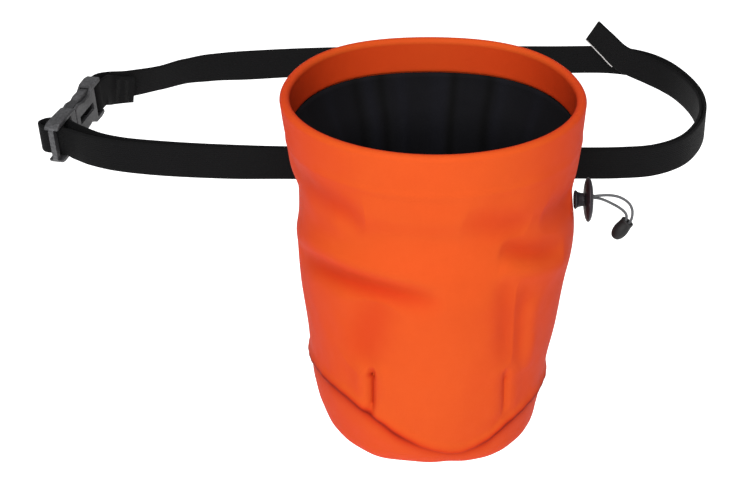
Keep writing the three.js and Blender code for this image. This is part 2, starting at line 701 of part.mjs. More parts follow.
// Adjusting half: a frame with two bars for the webbing, two sprung prongs and a guide between them.
function buckleFork() {
  const half = BUCKLE_WIDTH / 2;
  const shoulderEnd = mouth - CLEAR;
  const outline = mirrored([
    [half * 0.72, 0], [half * 0.90, BAR * 0.3], [half * 0.97, BAR], [half * 0.97, adjustBar],
    [half * 0.90, shoulderEnd - BAR * 0.4], [half * 0.84, shoulderEnd],
  ]);
  const faceCut = (BUCKLE_THICK - BAR_THICK) / 2;
  const faceMiddle = (BAR_THICK + faceCut) / 2;
  const secondSlot = adjustBar + BAR / 2;
  const cuts = [
    block(slotWidth, BAR, BAR + SLOT, BUCKLE_THICK * 2),
    block(slotWidth, secondSlot, secondSlot + SLOT, BUCKLE_THICK * 2),
    block(slotWidth, -BAR, secondSlot + SLOT, faceCut * 1.001, faceMiddle),
    block(slotWidth, -BAR, secondSlot + SLOT, faceCut * 1.001, -faceMiddle),
  ];
  const frame = cuts.reduce((body, cut) => body.subtract(solid(cut)), solid(plate(outline, BUCKLE_THICK, BUCKLE_SOFTEN)));
  const prongThick = socketThick - 2 * CLEAR;
  const prongEnd = socketEnd - 2 * CLEAR;
  const inner = socketWidth / 2 - CLEAR;
  const arm = [
    [inner - PRONG, shoulderEnd - BAR], [inner, shoulderEnd - BAR], [inner, windowFrom],
    [half * 0.93, windowFrom + PRONG], [half * 0.90, windowTo - PRONG], [inner, windowTo - CLEAR],
    [inner - PRONG * 0.6, prongEnd], [inner - PRONG * 1.3, prongEnd - PRONG], [inner - PRONG, windowFrom],
  ];
  const guide = mirrored([[PRONG * 0.45, shoulderEnd - BAR], [PRONG * 0.35, mouth + BAR]]);
  const pieces = [arm, arm.map(([x, y]) => [-x, y]), guide].map((points) => solid(plate(points, prongThick, 0)));
  return geometryOf(pieces.reduce((body, piece) => body.add(piece), frame));
}

// The toggle stands off the right side of the bag on its eyelet.
const LOCK_ANGLE = 90;
const lockSeat = Math.max(...[-0.5, -0.25, 0, 0.25, 0.5].flatMap((step) => [-4, 0, 4].map(
  (turn) => skinReach(LOCK_ANGLE + turn, LOCK_BELOW_RIM + step * EYELET_DIAMETER),
)));
const eyeletStart = axisX + lockSeat + CLEAR;
const lockStart = eyeletStart + EYELET_LENGTH + CLEAR;

// A turned piece, whose profile holds radius and place along an axis from base towards aim.
function turned(profile, base, aim, sides) {
  const geometry = new THREE.LatheGeometry(profile.map(([radius, along]) => new THREE.Vector2(radius, along)), sides);
  const turn = new THREE.Quaternion().setFromUnitVectors(new THREE.Vector3(0, 1, 0), aim);
  return geometry.applyQuaternion(turn).translate(base.x, base.y, base.z);
}

function sideways(start) {
  return new THREE.Vector3(start, axisY, rimTop - LOCK_BELOW_RIM);
}

const OUTWARD = new THREE.Vector3(1, 0, 0);

function cordEyelet() {
  const radius = EYELET_DIAMETER / 2;
  const profile = [
    [0, 0], [radius * 0.85, 0], [radius, EYELET_LENGTH * 0.15], [radius * 0.8, EYELET_LENGTH * 0.55],
    [radius * 0.7, EYELET_LENGTH], [0, EYELET_LENGTH],
  ];
  return turned(profile, sideways(eyeletStart), OUTWARD, 16);
}

function cordLock() {
  const radius = LOCK_DIAMETER / 2;
  const profile = [
    [0, 0], [radius * 0.45, 0], [radius * 0.8, LOCK_THICK * 0.17], [radius, LOCK_THICK * 0.42],
    [radius, LOCK_THICK * 0.58], [radius * 0.8, LOCK_THICK * 0.83], [radius * 0.45, LOCK_THICK], [0, LOCK_THICK],
  ];
  return turned(profile, sideways(lockStart), OUTWARD, 24);
}

// Route of the drawcord: out of the toggle, down to the end piece, round inside it, and back.
const CORD_ROUTE = [
  [89.4, -121.1, 13.7], [92.2, -121.1, 14.0], [95.6, -121.0, 14.1], [98.6, -120.9, 13.7],
  [101.2, -120.8, 12.8], [103.5, -120.7, 11.3], [105.3, -120.6, 9.4], [106.3, -120.6, 7.2],
  [106.6, -120.6, 5.0], [106.4, -120.6, 2.8], [105.77, -120.6, 1.01], [104.47, -120.6, -0.90],
  [103.80, -120.6, -1.34], [103.01, -120.6, -1.18], [102.57, -120.6, -0.51], [102.73, -120.6, 0.28],
  [104.03, -120.6, 2.19], [104.2, -120.5, 3.8], [103.6, -120.4, 5.3], [102.2, -120.3, 6.8],
  [100.1, -120.2, 8.3], [97.5, -120.2, 9.8], [94.9, -120.1, 11.1], [92.2, -120.1, 12.1],
  [89.4, -120.1, 12.5],
];
const CORD_SIDES = 8;
const CORD_STEPS = 44;

function drawcord() {
  const route = new THREE.CatmullRomCurve3(CORD_ROUTE.map((point) => new THREE.Vector3(...point)), false, 'centripetal');
  const section = new THREE.Shape(Array.from({ length: CORD_SIDES }, (_, i) => {
    const turn = (2 * Math.PI * i) / CORD_SIDES;
    return new THREE.Vector2(Math.cos(turn), Math.sin(turn)).multiplyScalar(CORD_DIAMETER / 2);
  }));
  return new THREE.ExtrudeGeometry(section, { steps: CORD_STEPS, extrudePath: route });
}

// End piece: an egg with a round mouth, in which the cord turns back.
const CORD_END_MOUTH = new THREE.Vector3(104.9, -120.6, 1.6);
const CORD_END_AIM = new THREE.Vector3(-0.56, 0, -0.83).normalize();

function cordEnd() {
  const radius = CORD_END_WIDTH / 2;
  const pocket = radius - CORD_END_WALL - CLEAR;
  const neck = pocket + CORD_END_WALL;
  const profile = [
    [0, CORD_END_LENGTH * 0.46], [pocket * 0.8, CORD_END_LENGTH * 0.44], [pocket, CORD_END_LENGTH * 0.36],
    [pocket, 0], [neck, 0], [neck * 1.02, CORD_END_LENGTH * 0.14], [radius * 0.97, CORD_END_LENGTH * 0.34],
    [radius, CORD_END_LENGTH * 0.54], [radius * 0.86, CORD_END_LENGTH * 0.76], [radius * 0.5, CORD_END_LENGTH * 0.94],
    [0, CORD_END_LENGTH],
  ];
  return turned(profile, CORD_END_MOUTH, CORD_END_AIM, 16);
}

const ORANGE = { color: 0xf0592a, roughness: 0.75, metalness: 0 };
const WEBBING = { color: 0x1c1c1c, roughness: 0.85, metalness: 0 };
const PLASTIC = { color: 0x3a3a3c, roughness: 0.45, metalness: 0 };
const BLACK_CLOTH = { color: 0x17171c, roughness: 0.8, metalness: 0 };

function piece(name, geometry, finish) {
  const mesh = new THREE.Mesh(geometry, new THREE.MeshStandardMaterial(finish));
  mesh.name = name;
  return mesh;
}

function buckle() {
  const group = new THREE.Group();
  group.add(piece('buckle_socket', buckleSocket(), PLASTIC), piece('buckle_fork', buckleFork(), PLASTIC));
  group.applyMatrix4(buckleFrame);
  return group;
}

const bag = new THREE.Group();
bag.add(
  piece('shell_body', shellBody(), ORANGE),
  piece('base_panel', basePanel(), ORANGE),
  piece('lining', lining(), BLACK_CLOTH),
  piece('belt_keeper', beltKeeper(), WEBBING),
);

const belt = new THREE.Group();
belt.add(
  piece('belt_webbing', strip(beltFrames, WEB_WIDTH, WEB_THICK), WEBBING),
  piece('tail_label', strip(
    freeEnd(LABEL_LENGTH),
    LABEL_WIDTH,
    LABEL_THICK,
    (WEB_THICK + LABEL_THICK) / 2 + CLEAR,
  ), BLACK_CLOTH),
  buckle(),
);

const draw = new THREE.Group();
draw.add(
  piece('cord_eyelet', cordEyelet(), PLASTIC),
  piece('cord_lock', cordLock(), PLASTIC),
  piece('drawcord', drawcord(), WEBBING),
  piece('cord_end', cordEnd(), PLASTIC),
);

const chalkBag = new THREE.Group();
chalkBag.add(bag, belt, draw);

export default chalkBag;
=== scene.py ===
"""Climbing chalk bag on its waist belt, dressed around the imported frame.

Sizes are in metres, with Z up. The origin is the middle of the belt loop. X runs across the wearer,
towards the side that the drawcord is on, and Y runs from the bag towards the wearer.
"""
from __future__ import annotations

import logging
import math
from dataclasses import dataclass, field
from enum import Enum
from functools import cached_property
from typing import Any, Sequence

import bmesh
import bpy
import numpy as np
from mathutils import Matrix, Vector
from numpy.typing import NDArray

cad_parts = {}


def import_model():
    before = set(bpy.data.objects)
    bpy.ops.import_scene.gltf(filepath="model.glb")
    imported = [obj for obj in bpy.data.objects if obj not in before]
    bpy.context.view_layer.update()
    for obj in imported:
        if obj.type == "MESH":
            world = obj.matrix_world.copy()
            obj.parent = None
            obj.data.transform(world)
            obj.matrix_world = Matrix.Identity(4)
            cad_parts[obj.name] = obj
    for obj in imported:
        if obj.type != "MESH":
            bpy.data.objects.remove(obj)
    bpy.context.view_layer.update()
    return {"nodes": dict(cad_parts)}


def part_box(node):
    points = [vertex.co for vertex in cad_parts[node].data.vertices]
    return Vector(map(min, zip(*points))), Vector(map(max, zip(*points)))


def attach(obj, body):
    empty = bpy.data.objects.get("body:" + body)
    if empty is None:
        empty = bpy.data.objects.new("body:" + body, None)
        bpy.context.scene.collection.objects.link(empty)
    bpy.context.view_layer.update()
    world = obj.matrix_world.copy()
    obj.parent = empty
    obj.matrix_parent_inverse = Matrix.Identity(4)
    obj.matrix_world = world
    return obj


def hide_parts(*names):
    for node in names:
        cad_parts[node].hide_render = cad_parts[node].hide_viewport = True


MM = 0.001
LOG = logging.getLogger("chalk_bag")
Array = NDArray[np.float64]
Socket = bpy.types.NodeSocket
Piece = bpy.types.Object
Material = bpy.types.Material


class Slot(Enum):
    """Material slots of the record."""

    SHELL = "shell_cloth"
    LINING = "lining_cloth"
    WEBBING = "webbing"
    LABEL = "label_cloth"
    BUCKLE = "buckle_plastic"
    TOGGLE = "toggle_plastic"
    CORD = "cord"


class Around(Enum):
    """Whether the last row of a grid of points meets the first."""

    CLOSED = 1
    OPEN = 0


# Numbers and curves


def unit(vectors: Array) -> Array:
    """Scales vectors along the last axis to length one."""
    return vectors / np.linalg.norm(vectors, axis=-1, keepdims=True)


def smoothstep(value: Array, low: float, high: float) -> Array:
    """Goes from 0 at low to 1 at high along 3t² - 2t³."""
    share = np.clip((value - low) / (high - low), 0.0, 1.0)
    return share * share * (3.0 - 2.0 * share)


def hump(value: Array, width: float) -> Array:
    """Bell shape exp(-(value/width)²)."""
    return np.exp(-((value / width) ** 2))


def wrapped(degrees: Array) -> Array:
    """Brings angles into the range from -180 to 180 degrees."""
    return (degrees + 180.0) % 360.0 - 180.0


def through_rows(values: Array, row: Array) -> Array:
    """Reads a table between its rows.

    The value is a cubic through the two rows on either side, whose slope at each row is half the
    difference of that row's neighbours.

    Args:
        values: One number for each row.
        row: Row numbers with their fractions.
    Returns:
        The values at those rows.
    """
    last = len(values) - 1
    here = np.clip(np.floor(row).astype(int), 0, last - 1)
    share = row - here
    a, b, c, d = (values[np.clip(here + step, 0, last)] for step in (-1, 0, 1, 2))
    square, cube = share**2, share**3
    return (
        b * (2 * cube - 3 * square + 1)
        + (c - a) / 2 * (cube - 2 * square + share)
        + c * (3 * square - 2 * cube)
        + (d - b) / 2 * (cube - square)
    )


def spline(points: Array, where: Array) -> tuple[Array, Array]:
    """Follows a smooth curve through points.

    Each stretch is a cubic whose end slopes come from the neighbours, weighted by the square root of
    the distance between points, so that it doesn't overshoot where they lie close together.

    Args:
        points: The points, one row each.
        where: Places along the curve as point numbers with fractions.
    Returns:
        The places, and the directions of the curve there.
    """
    before = 2 * points[:1] - points[1:2]
    after = 2 * points[-1:] - points[-2:-1]
    full = np.concatenate([before, points, after])
    here = np.clip(np.floor(where).astype(int), 0, len(points) - 2)
    share = (where - here)[:, None]
    a, b, c, d = (full[here + step] for step in range(4))
    gap = [np.sqrt(np.linalg.norm(q - p, axis=1, keepdims=True)) for p, q in ((a, b), (b, c), (c, d))]
    slope_b = ((b - a) / gap[0] - (c - a) / (gap[0] + gap[1]) + (c - b) / gap[1]) * gap[1]
    slope_c = ((c - b) / gap[1] - (d - b) / (gap[1] + gap[2]) + (d - c) / gap[2]) * gap[1]
    second = -3 * b + 3 * c - 2 * slope_b - slope_c
    third = 2 * b - 2 * c + slope_b + slope_c
    at = b + slope_b * share + second * share**2 + third * share**3
    along = slope_b + 2 * second * share + 3 * third * share**2
    return at, unit(along)


def evenly(points: Array, spacing: float) -> Array:
    """Places along a spline's points that lie about a given distance apart on each stretch.

    Args:
        points: The spline's points, one row each.
        spacing: About how far apart the places lie.
    Returns:
        The places as point numbers with fractions.
    """
    gaps = np.linalg.norm(np.diff(points, axis=0), axis=1)
    steps = np.maximum(1, np.ceil(gaps / spacing)).astype(int)
    stretches = [start + np.arange(count) / count for start, count in enumerate(steps)]
    return np.concatenate([*stretches, [len(points) - 1.0]])


def lengths(points: Array) -> Array:
    """Length of a line of points up to each of them."""
    return np.concatenate([[0.0], np.cumsum(np.linalg.norm(np.diff(points, axis=0), axis=1))])


# Meshes


@dataclass
class Surface:
    """A grid of points that becomes a closed mesh.

    The last column meets the first. Each face joins four neighbours, and a tip closes the first or the
    last row with a fan of triangles.

    Attributes:
        points: Places as rows x columns x 3.
        pattern: Places in the pattern of the surface as rows x columns x 2, in metres, with one more
            row or column where the grid meets itself.
        through: Whether the last row meets the first.
        tips: The points that close the first and the last row.
        shade_depth: How deep in a crease each point lies, from 0 to 1, which sets how strong the painted
            shade is there.
    """

    points: Array
    pattern: Array
    through: Around = Around.OPEN
    tips: tuple[Array, Array] | None = None
    shade_depth: Array | None = None

    def made(self, name: str) -> Piece:
        """Makes the mesh object, with its faces turned outwards.

        Args:
            name: The name of the piece.
        Returns:
            The object, at the origin, smooth, with its pattern as a UV map.
        """
        rows, columns = self.points.shape[:2]
        row, column = np.meshgrid(np.arange(rows - 1 + self.through.value), np.arange(columns), indexing="ij")
        corners = [(row, column), (row, column + 1), (row + 1, column + 1), (row + 1, column)]
        quads = np.stack([(r % rows) * columns + c % columns for r, c in corners], -1).reshape(-1, 4)
        marks = np.stack([self.pattern[r, c] for r, c in corners], 2).reshape(-1, 4, 2)
        points = self.points.reshape(-1, 3)
        fans, fan_marks = np.empty((0, 3), int), np.empty((0, 3, 2))
        if self.tips is not None:
            points = np.concatenate([points, [self.tips[0], self.tips[1]]])
            ends = ((0, 1, 0, rows * columns), (rows - 1, 0, 1, rows * columns + 1))
            ring = np.arange(columns)
            for level, first, second, tip in ends:
                near = [level * columns + (ring + step) % columns for step in (first, second)]
                fans = np.concatenate([fans, np.stack([np.full(columns, tip), *near], -1)])
                middle = np.repeat(self.pattern[level, :columns].mean(0)[None], columns, 0)
                edge = [self.pattern[level, ring + step] for step in (first, second)]
                fan_marks = np.concatenate([fan_marks, np.stack([middle, *edge], 1)])
        if volume_of(points, quads, fans) < 0:
            quads, marks, fans, fan_marks = (values[:, ::-1] for values in (quads, marks, fans, fan_marks))
        mesh = bpy.data.meshes.new(name)
        mesh.from_pydata(points.tolist(), [], quads.tolist() + fans.tolist())
        layer = mesh.uv_layers.new(name="Pattern")
        layer.data.foreach_set("uv", np.concatenate([marks.reshape(-1), fan_marks.reshape(-1)]))
        mesh.polygons.foreach_set("use_smooth", np.ones(len(mesh.polygons), bool))
        # The painted shade goes to the material as a point attribute.
        if self.shade_depth is not None:
            depth = np.zeros(len(points))
            depth[: self.shade_depth.size] = self.shade_depth.reshape(-1)
            mesh.attributes.new("PaintedShade", "FLOAT", "POINT").data.foreach_set("value", depth)
        return placed(name, mesh)


def placed(name: str, mesh: bpy.types.Mesh) -> Piece:
    """Puts a mesh into the scene as an object at the origin.

    Args:
        name: The name of the piece.
        mesh: Its mesh.
    Returns:
        The object.
    """
    mesh.validate()
    made = bpy.data.objects.new(name, mesh)
    bpy.context.scene.collection.objects.link(made)
    return made


def volume_of(points: Array, quads: Array, fans: Array) -> float:
    """Six times the volume that faces enclose: the sum of each corner's product with the next two."""
    triangles = np.concatenate([quads[:, [0, 1, 2]], quads[:, [0, 2, 3]], fans])
    a, b, c = (points[triangles[:, i]] for i in range(3))
    return float(np.sum(a * np.cross(b, c)))


def turned(name: str, outline: Array, base: Array, aim: Array, sides: int, steps: int) -> Piece:
    """Makes a turned piece.

    The outline holds radius and height. A smooth curve runs through it and goes round the axis: a
    point is base + aim·height + (across·cos + over·sin)·radius.

    Args:
        name: The name of the piece.
        outline: Radius and height of each point, from tip to tip, without the tips on the axis.
        base: The foot of the axis.
        aim: The direction of the axis.
        sides: How many faces go round.
        steps: How many faces lie between two points of the outline.
    Returns:
        The piece.
    """
    last = len(outline) - 1
    curve, _ = spline(outline, np.linspace(0, last, steps * last + 1))
    aim = unit(aim)
    helper = np.array([0.0, 1.0, 0.0]) if abs(aim[1]) < 0.9 else np.array([1.0, 0.0, 0.0])
    across = unit(np.cross(aim, helper))
    over = np.cross(aim, across)
    turn = 2 * np.pi * np.arange(sides) / sides
    radial = across * np.cos(turn)[:, None] + over * np.sin(turn)[:, None]
    points = base + curve[:, 1, None, None] * aim + np.maximum(curve[:, 0, None, None], 0.0) * radial
    tips = (base + aim * curve[0, 1], base + aim * curve[-1, 1])
    marks = np.linspace(0, 2 * np.pi, sides + 1) * outline[:, 0].max()
    pattern = np.stack(np.broadcast_arrays(marks[None, :], lengths(curve)[:, None]), -1)
    return Surface(points, pattern, tips=tips).made(name)


@dataclass(frozen=True)
class Ribbon:
    """A line with the directions of a strip that follows it.

    Attributes:
        at: Places along the middle of the strip.
        along: The way that it runs.
        up: The way that its width stands.
        side: The way that its face looks.
    """

    at: Array
    along: Array
    up: Array
    side: Array

    @classmethod
    def through(cls, at: Array, up: Array, spacing: float) -> "Ribbon":
        """Follows the spline through stations, whose upward directions pass smoothly into each other.

        Args:
            at: The stations.
            up: The upward direction at each station.
            spacing: About how far apart the ribbon's places lie.
        Returns:
            The ribbon, with up square to its run and side square to both.
        """
        where = evenly(at, spacing)
        places, along = spline(at, where)
        here = np.clip(np.floor(where).astype(int), 0, len(at) - 2)
        share = smoothstep(where - here, 0.0, 1.0)[:, None]
        blend = up[here] * (1 - share) + up[here + 1] * share
        square = unit(blend - along * np.sum(blend * along, axis=1, keepdims=True))
        return cls(places, along, square, np.cross(along, square))

    def last(self, length: float) -> "Ribbon":
        """The end of the ribbon over a given length."""
        run = lengths(self.at)
        keep = run >= run[-1] - length
        return Ribbon(self.at[keep], self.along[keep], self.up[keep], self.side[keep])

    def near(self, place: float) -> int:
        """The number of the ribbon's point that lies nearest a length along it."""
        return int(np.argmin(np.abs(lengths(self.at) - place)))

    def strip(self, name: str, section: Array, shift: float = 0.0) -> Piece:
        """Carries a section along the ribbon.

        A point is at + up·width + side·(depth + shift) for each width and depth of the section.

        Args:
            name: The name of the piece.
            section: Width and depth of each point round the strip.
            shift: How far the strip lies off the ribbon's line.
        Returns:
            The piece, with its ends closed.
        """
        depth = section[:, 1] + shift
        points = (
            self.at[:, None]
            + self.up[:, None] * section[None, :, :1]
            + self.side[:, None] * depth[None, :, None]
        )
        middle = self.at + self.side * shift
        round_it = lengths(np.concatenate([section, section[:1]]))
        pattern = np.stack(np.broadcast_arrays(round_it[None, :], lengths(self.at)[:, None]), -1)
        return Surface(points, pattern, tips=(middle[0], middle[-1])).made(name)


def selvedge(width: float, thick: float, flat: int = 12, bend: int = 5) -> Array:
    """Section of webbing: two flat faces between half-round edges.

    Args:
        width: Width over the edges.
        thick: Thickness.
        flat: Faces across each flat side.
        bend: Faces round each edge.
    Returns:
        Width and depth of each point.
    """
    half, radius = width / 2, thick / 2
    run = np.linspace(half - radius, radius - half, flat + 1)
    turn = np.linspace(np.pi / 2, 3 * np.pi / 2, bend + 1)[1:-1]
    left = np.stack([radius - half + radius * np.cos(turn), radius * np.sin(turn)], -1)
    top = np.stack([run, np.full_like(run, radius)], -1)
    return np.concatenate([top, left, -top, -left])


@dataclass(frozen=True)
class Stitch:
    """Thread of a seam: each stitch is a low arch whose ends dip into the cloth.

    Attributes:
        length: Length of a stitch.
        thread: Thickness of the thread.
        rise: How far its middle stands off the cloth.
        rings: Rings of points along a stitch.
        sides: Points in each ring.
    """

    length: float = 2.6 * MM
    thread: float = 0.36 * MM
    rise: float = 0.14 * MM
    rings: int = 6
    sides: int = 6

    def sewn(self, name: str, at: Array, along: Array, out: Array) -> Piece:
        """Makes one mesh of many stitches.

        Along a stitch t goes from -1 to 1: its line is at + along·t·length/2 + out·rise·(1 - 2t⁴),
        and its radius is thread/2·(1 - 0.7·t⁶).

        Args:
            name: The name of the piece.
            at: The middle of each stitch, on the surface of the cloth.
            along: The way that each stitch runs.
            out: The way off the cloth.
        Returns:
            The piece.
        """
        share = np.linspace(-1, 1, self.rings)
        turn = 2 * np.pi * np.arange(self.sides) / self.sides
        lift = self.rise * (1 - 2 * share**4)
        radius = self.thread / 2 * (1 - 0.7 * np.abs(share) ** 6)
        across = np.cross(along, out)
        run = (share * self.length / 2)[:, None]
        line = at[:, None] + along[:, None] * run + out[:, None] * lift[:, None]
        ring = across[:, None, None] * np.cos(turn)[:, None] + out[:, None, None] * np.sin(turn)[:, None]
        points = line[:, :, None] + ring * radius[None, :, None, None]
        return capsules(name, points)


def capsules(name: str, points: Array) -> Piece:
    """Makes one mesh of many short tubes with closed ends.

    Args:
        name: The name of the piece.
        points: Places as tubes x rings x sides x 3.
    Returns:
        The piece.
    """
    count, rings, sides = points.shape[:3]
    start = np.arange(count)[:, None, None] * rings * sides
    ring, side = np.meshgrid(np.arange(rings - 1), np.arange(sides), indexing="ij")
    corners = [(ring, side), (ring, side + 1), (ring + 1, side + 1), (ring + 1, side)]
    quads = np.stack([start + r * sides + s % sides for r, s in corners], -1).reshape(-1, 4)
    first, round_it = start[:, 0], np.arange(sides)
    rims = np.concatenate([first + round_it, first + rings * sides - 1 - round_it])
    mesh = bpy.data.meshes.new(name)
    mesh.from_pydata(points.reshape(-1, 3).tolist(), [], quads.tolist() + rims.tolist())
    mesh.polygons.foreach_set("use_smooth", np.ones(len(mesh.polygons), bool))
    made = placed(name, mesh)
    outwards(made)
    return made


def outwards(piece: Piece) -> None:
    """Turns the faces of closed shells outwards.

    Args:
        piece: The piece, all of closed shells.
    """
    work = bmesh.new()
    work.from_mesh(piece.data)
    bmesh.ops.recalc_face_normals(work, faces=work.faces)
    work.to_mesh(piece.data)
    work.free()


# Shader graphs


def colour(tone: Sequence[float]) -> tuple[float, float, float, float]:
    """Adds full opacity to a colour."""
    return (*tone, 1.0)


class Graph:
    """A node tree with short calls for adding and joining nodes."""

    def __init__(self, tree: bpy.types.NodeTree) -> None:
        """Holds the tree."""
        self.tree = tree

    def add(self, kind: str, inputs: dict[Any, Any] | None = None, **settings: Any) -> bpy.types.Node:
        """Adds a node.

        Args:
            kind: The node's type without its ShaderNode prefix.
            inputs: Values or sockets for its inputs, by name or number.
            settings: Its other properties.
        Returns:
            The node.
        """
        prefix = "" if kind.startswith("Node") else "ShaderNode"
        node = self.tree.nodes.new(prefix + kind)
        for key, value in settings.items():
            setattr(node, key, value)
        self.feed(node, inputs or {})
        return node

    def feed(self, node: bpy.types.Node, inputs: dict[Any, Any]) -> None:
        """Sets or joins several inputs of a node."""
        for key, value in inputs.items():
            self.put(node.inputs[key], value)

    def put(self, target: Socket, value: Any) -> None:
        """Sets an input to a value, or joins it to a socket.

        Args:
            target: The input.
            value: The value or socket.
        """
        if isinstance(value, bpy.types.NodeSocket):
            self.tree.links.new(value, target)
        else:
            target.default_value = value

    def math(self, operation: str, *values: Any) -> Socket:
        """Result of a Math node."""
        return self.add("Math", dict(enumerate(values)), operation=operation).outputs[0]

    def mapped(self, value: Any, low: float, high: Any, to_low: float, to_high: float) -> Socket:
        """Value moved from one range into another and kept inside it."""
        inputs = {"Value": value, "From Min": low, "From Max": high, "To Min": to_low, "To Max": to_high}
        return self.add("MapRange", inputs).outputs["Result"]

    def noise(self, place: Socket, scale: Any, **inputs: float) -> Socket:
        """Noise at a place."""
        return self.add("TexNoise", {"Vector": place, "Scale": scale, **inputs}).outputs[0]

    def bump(self, height: Socket, distance: float, strength: float, **under: Socket) -> Socket:
        """Normal of a height, on top of the Normal under it where one is given."""
        inputs = {"Height": height, "Distance": distance, "Strength": strength, **under}
        return self.add("Bump", inputs).outputs[0]

    def wave(self, value: Any) -> Socket:
        """Arches with feet at whole numbers: |sin(pi·value)|."""
        return self.math("ABSOLUTE", self.math("SINE", self.math("MULTIPLY", value, math.pi)))

    def mixed(self, share: Any, first: Any, second: Any) -> Socket:
        """Two colours mixed by a share."""
        ends = [colour(value) if isinstance(value, tuple) else value for value in (first, second)]
        return self.add("Mix", {0: share, 6: ends[0], 7: ends[1]}, data_type="RGBA").outputs[2]

    def pattern(self) -> Socket:
        """The piece's own pattern coordinates."""
        return self.add("UVMap", uv_map="Pattern").outputs[0]

    def object_place(self) -> Socket:
        """The place in the object's own coordinates."""
        return self.add("TexCoord").outputs["Object"]

    def group(self, tree: bpy.types.NodeTree, place: Socket, **values: float) -> Socket:
        """Result of a shared effect."""
        return self.add("Group", {"Place": place, **values}, node_tree=tree).outputs[0]


class Effects:
    """Shader node groups that several finishes share. They put out heights and masks only."""

    def _group(self, name: str, inputs: dict[str, float]) -> tuple[Graph, Any, Socket]:
        """Starts a group whose first input is the place in the pattern.

        Args:
            name: The group's name.
            inputs: Its other inputs and their usual values.
        Returns:
            The graph, the outputs of its input node, and what its result is joined to.
        """
        tree = bpy.data.node_groups.new(name, "ShaderNodeTree")
        tree.interface.new_socket("Place", in_out="INPUT", socket_type="NodeSocketVector")
        for label, value in inputs.items():
            socket = tree.interface.new_socket(label, in_out="INPUT", socket_type="NodeSocketFloat")
            socket.default_value = value
        tree.interface.new_socket("Result", in_out="OUTPUT", socket_type="NodeSocketFloat")
        graph = Graph(tree)
        return graph, graph.add("NodeGroupInput").outputs, graph.add("NodeGroupOutput").inputs["Result"]

    @cached_property
    def woven(self) -> bpy.types.NodeTree:
        """Plain weave: threads are arches, and at each crossing one lies over the other in turn.

        With x and y as the sines across the warp and the weft, the warp's height is |x|·(0.6 + 0.4|y|)
        and the weft's |y|·(0.6 + 0.4|x|). Where x·y is above zero the warp lies on top.

        Returns:
            The node group.
        """
        graph, enter, leave = self._group("Plain weave", {"Pitch": 0.45 * MM})
        split = graph.add("SeparateXYZ", {0: enter["Place"]})
        rate = graph.math("DIVIDE", math.pi, enter["Pitch"])
        warp, weft = (graph.math("SINE", graph.math("MULTIPLY", split.outputs[i], rate)) for i in (0, 1))
        over = graph.math("GREATER_THAN", graph.math("MULTIPLY", warp, weft), 0.0)
        rise = [graph.math("ABSOLUTE", value) for value in (warp, weft)]
        heights = [
            graph.math("MULTIPLY", rise[i], graph.math("MULTIPLY_ADD", rise[1 - i], 0.4, 0.6)) for i in (0, 1)
        ]
        gap = graph.math("SUBTRACT", heights[0], heights[1])
        graph.put(leave, graph.math("MULTIPLY_ADD", gap, over, heights[1]))
        return graph.tree

    @cached_property
    def ribbed(self) -> bpy.types.NodeTree:
        """Webbing: cords run along it side by side, and each is a chain of slanting floats.

        Across the strip the height is |sin| with one arch for each cord. Along it, |sin| of the length
        plus half the width gives the slanted floats, which change direction at every second cord.

        Returns:
            The node group.
        """
        graph, enter, leave = self._group("Ribbed webbing", {"Cord": 0.95 * MM, "Float": 1.5 * MM})
        split = graph.add("SeparateXYZ", {0: enter["Place"]})
        across = graph.math("DIVIDE", split.outputs[0], enter["Cord"])
        rib = graph.wave(across)
        turn = graph.math("PINGPONG", across, 1.0)
        along = graph.math("ADD", graph.math("DIVIDE", split.outputs[1], enter["Float"]), turn)
        slant = graph.math("MULTIPLY_ADD", graph.wave(along), 0.45, 0.55)
        graph.put(leave, graph.math("MULTIPLY", graph.math("SQRT", rib), slant))
        return graph.tree

    @cached_property
    def mottle(self) -> bpy.types.NodeTree:
        """Cloudy mask: broad and fine noise added, from 0 to 1.

        Returns:
            The node group.
        """
        graph, enter, leave = self._group("Mottle", {"Scale": 30.0, "Fine": 0.35})
        place, scale = enter["Place"], enter["Scale"]
        broad = graph.noise(place, scale, Detail=2.0)
        fine = graph.noise(place, graph.math("MULTIPLY", scale, 7.0), Detail=3.0)
        gap = graph.math("SUBTRACT", fine, broad)
        mask = graph.math("MULTIPLY_ADD", gap, enter["Fine"], broad)
        graph.put(leave, graph.mapped(mask, 0.3, 0.7, 0.0, 1.0))
        return graph.tree

    @cached_property
    def wear(self) -> bpy.types.NodeTree:
        """Rubbed edges: a mask of convex edges, broken up by noise.

        Returns:
            The node group.
        """
        graph, enter, leave = self._group("Edge wear", {"Reach": 0.06, "Breaks": 900.0})
        bent = graph.add("NewGeometry").outputs["Pointiness"]
        high = graph.math("ADD", enter["Reach"], 0.5)
        edge = graph.mapped(bent, 0.505, high, 0.0, 1.0)
        broken = graph.mapped(graph.noise(enter["Place"], enter["Breaks"]), 0.35, 0.65, 0.3, 1.0)
        graph.put(leave, graph.math("MULTIPLY", edge, broken))
        return graph.tree

    @cached_property
    def braided(self) -> bpy.types.NodeTree:
        """Braid: strands cross on both slants, and each bulges where it lies over the other.

        Returns:
            The node group.
        """
        graph, enter, leave = self._group("Braid", {"Pitch": 0.5 * MM})
        split = graph.add("SeparateXYZ", {0: enter["Place"]})
        rate = graph.math("DIVIDE", math.pi, enter["Pitch"])
        slants = [graph.math(way, split.outputs[0], split.outputs[1]) for way in ("ADD", "SUBTRACT")]
        waves = [graph.math("SINE", graph.math("MULTIPLY", slant, rate)) for slant in slants]
        arches = [graph.math("ABSOLUTE", value) for value in waves]
        graph.put(leave, graph.math("MAXIMUM", *arches))
        return graph.tree


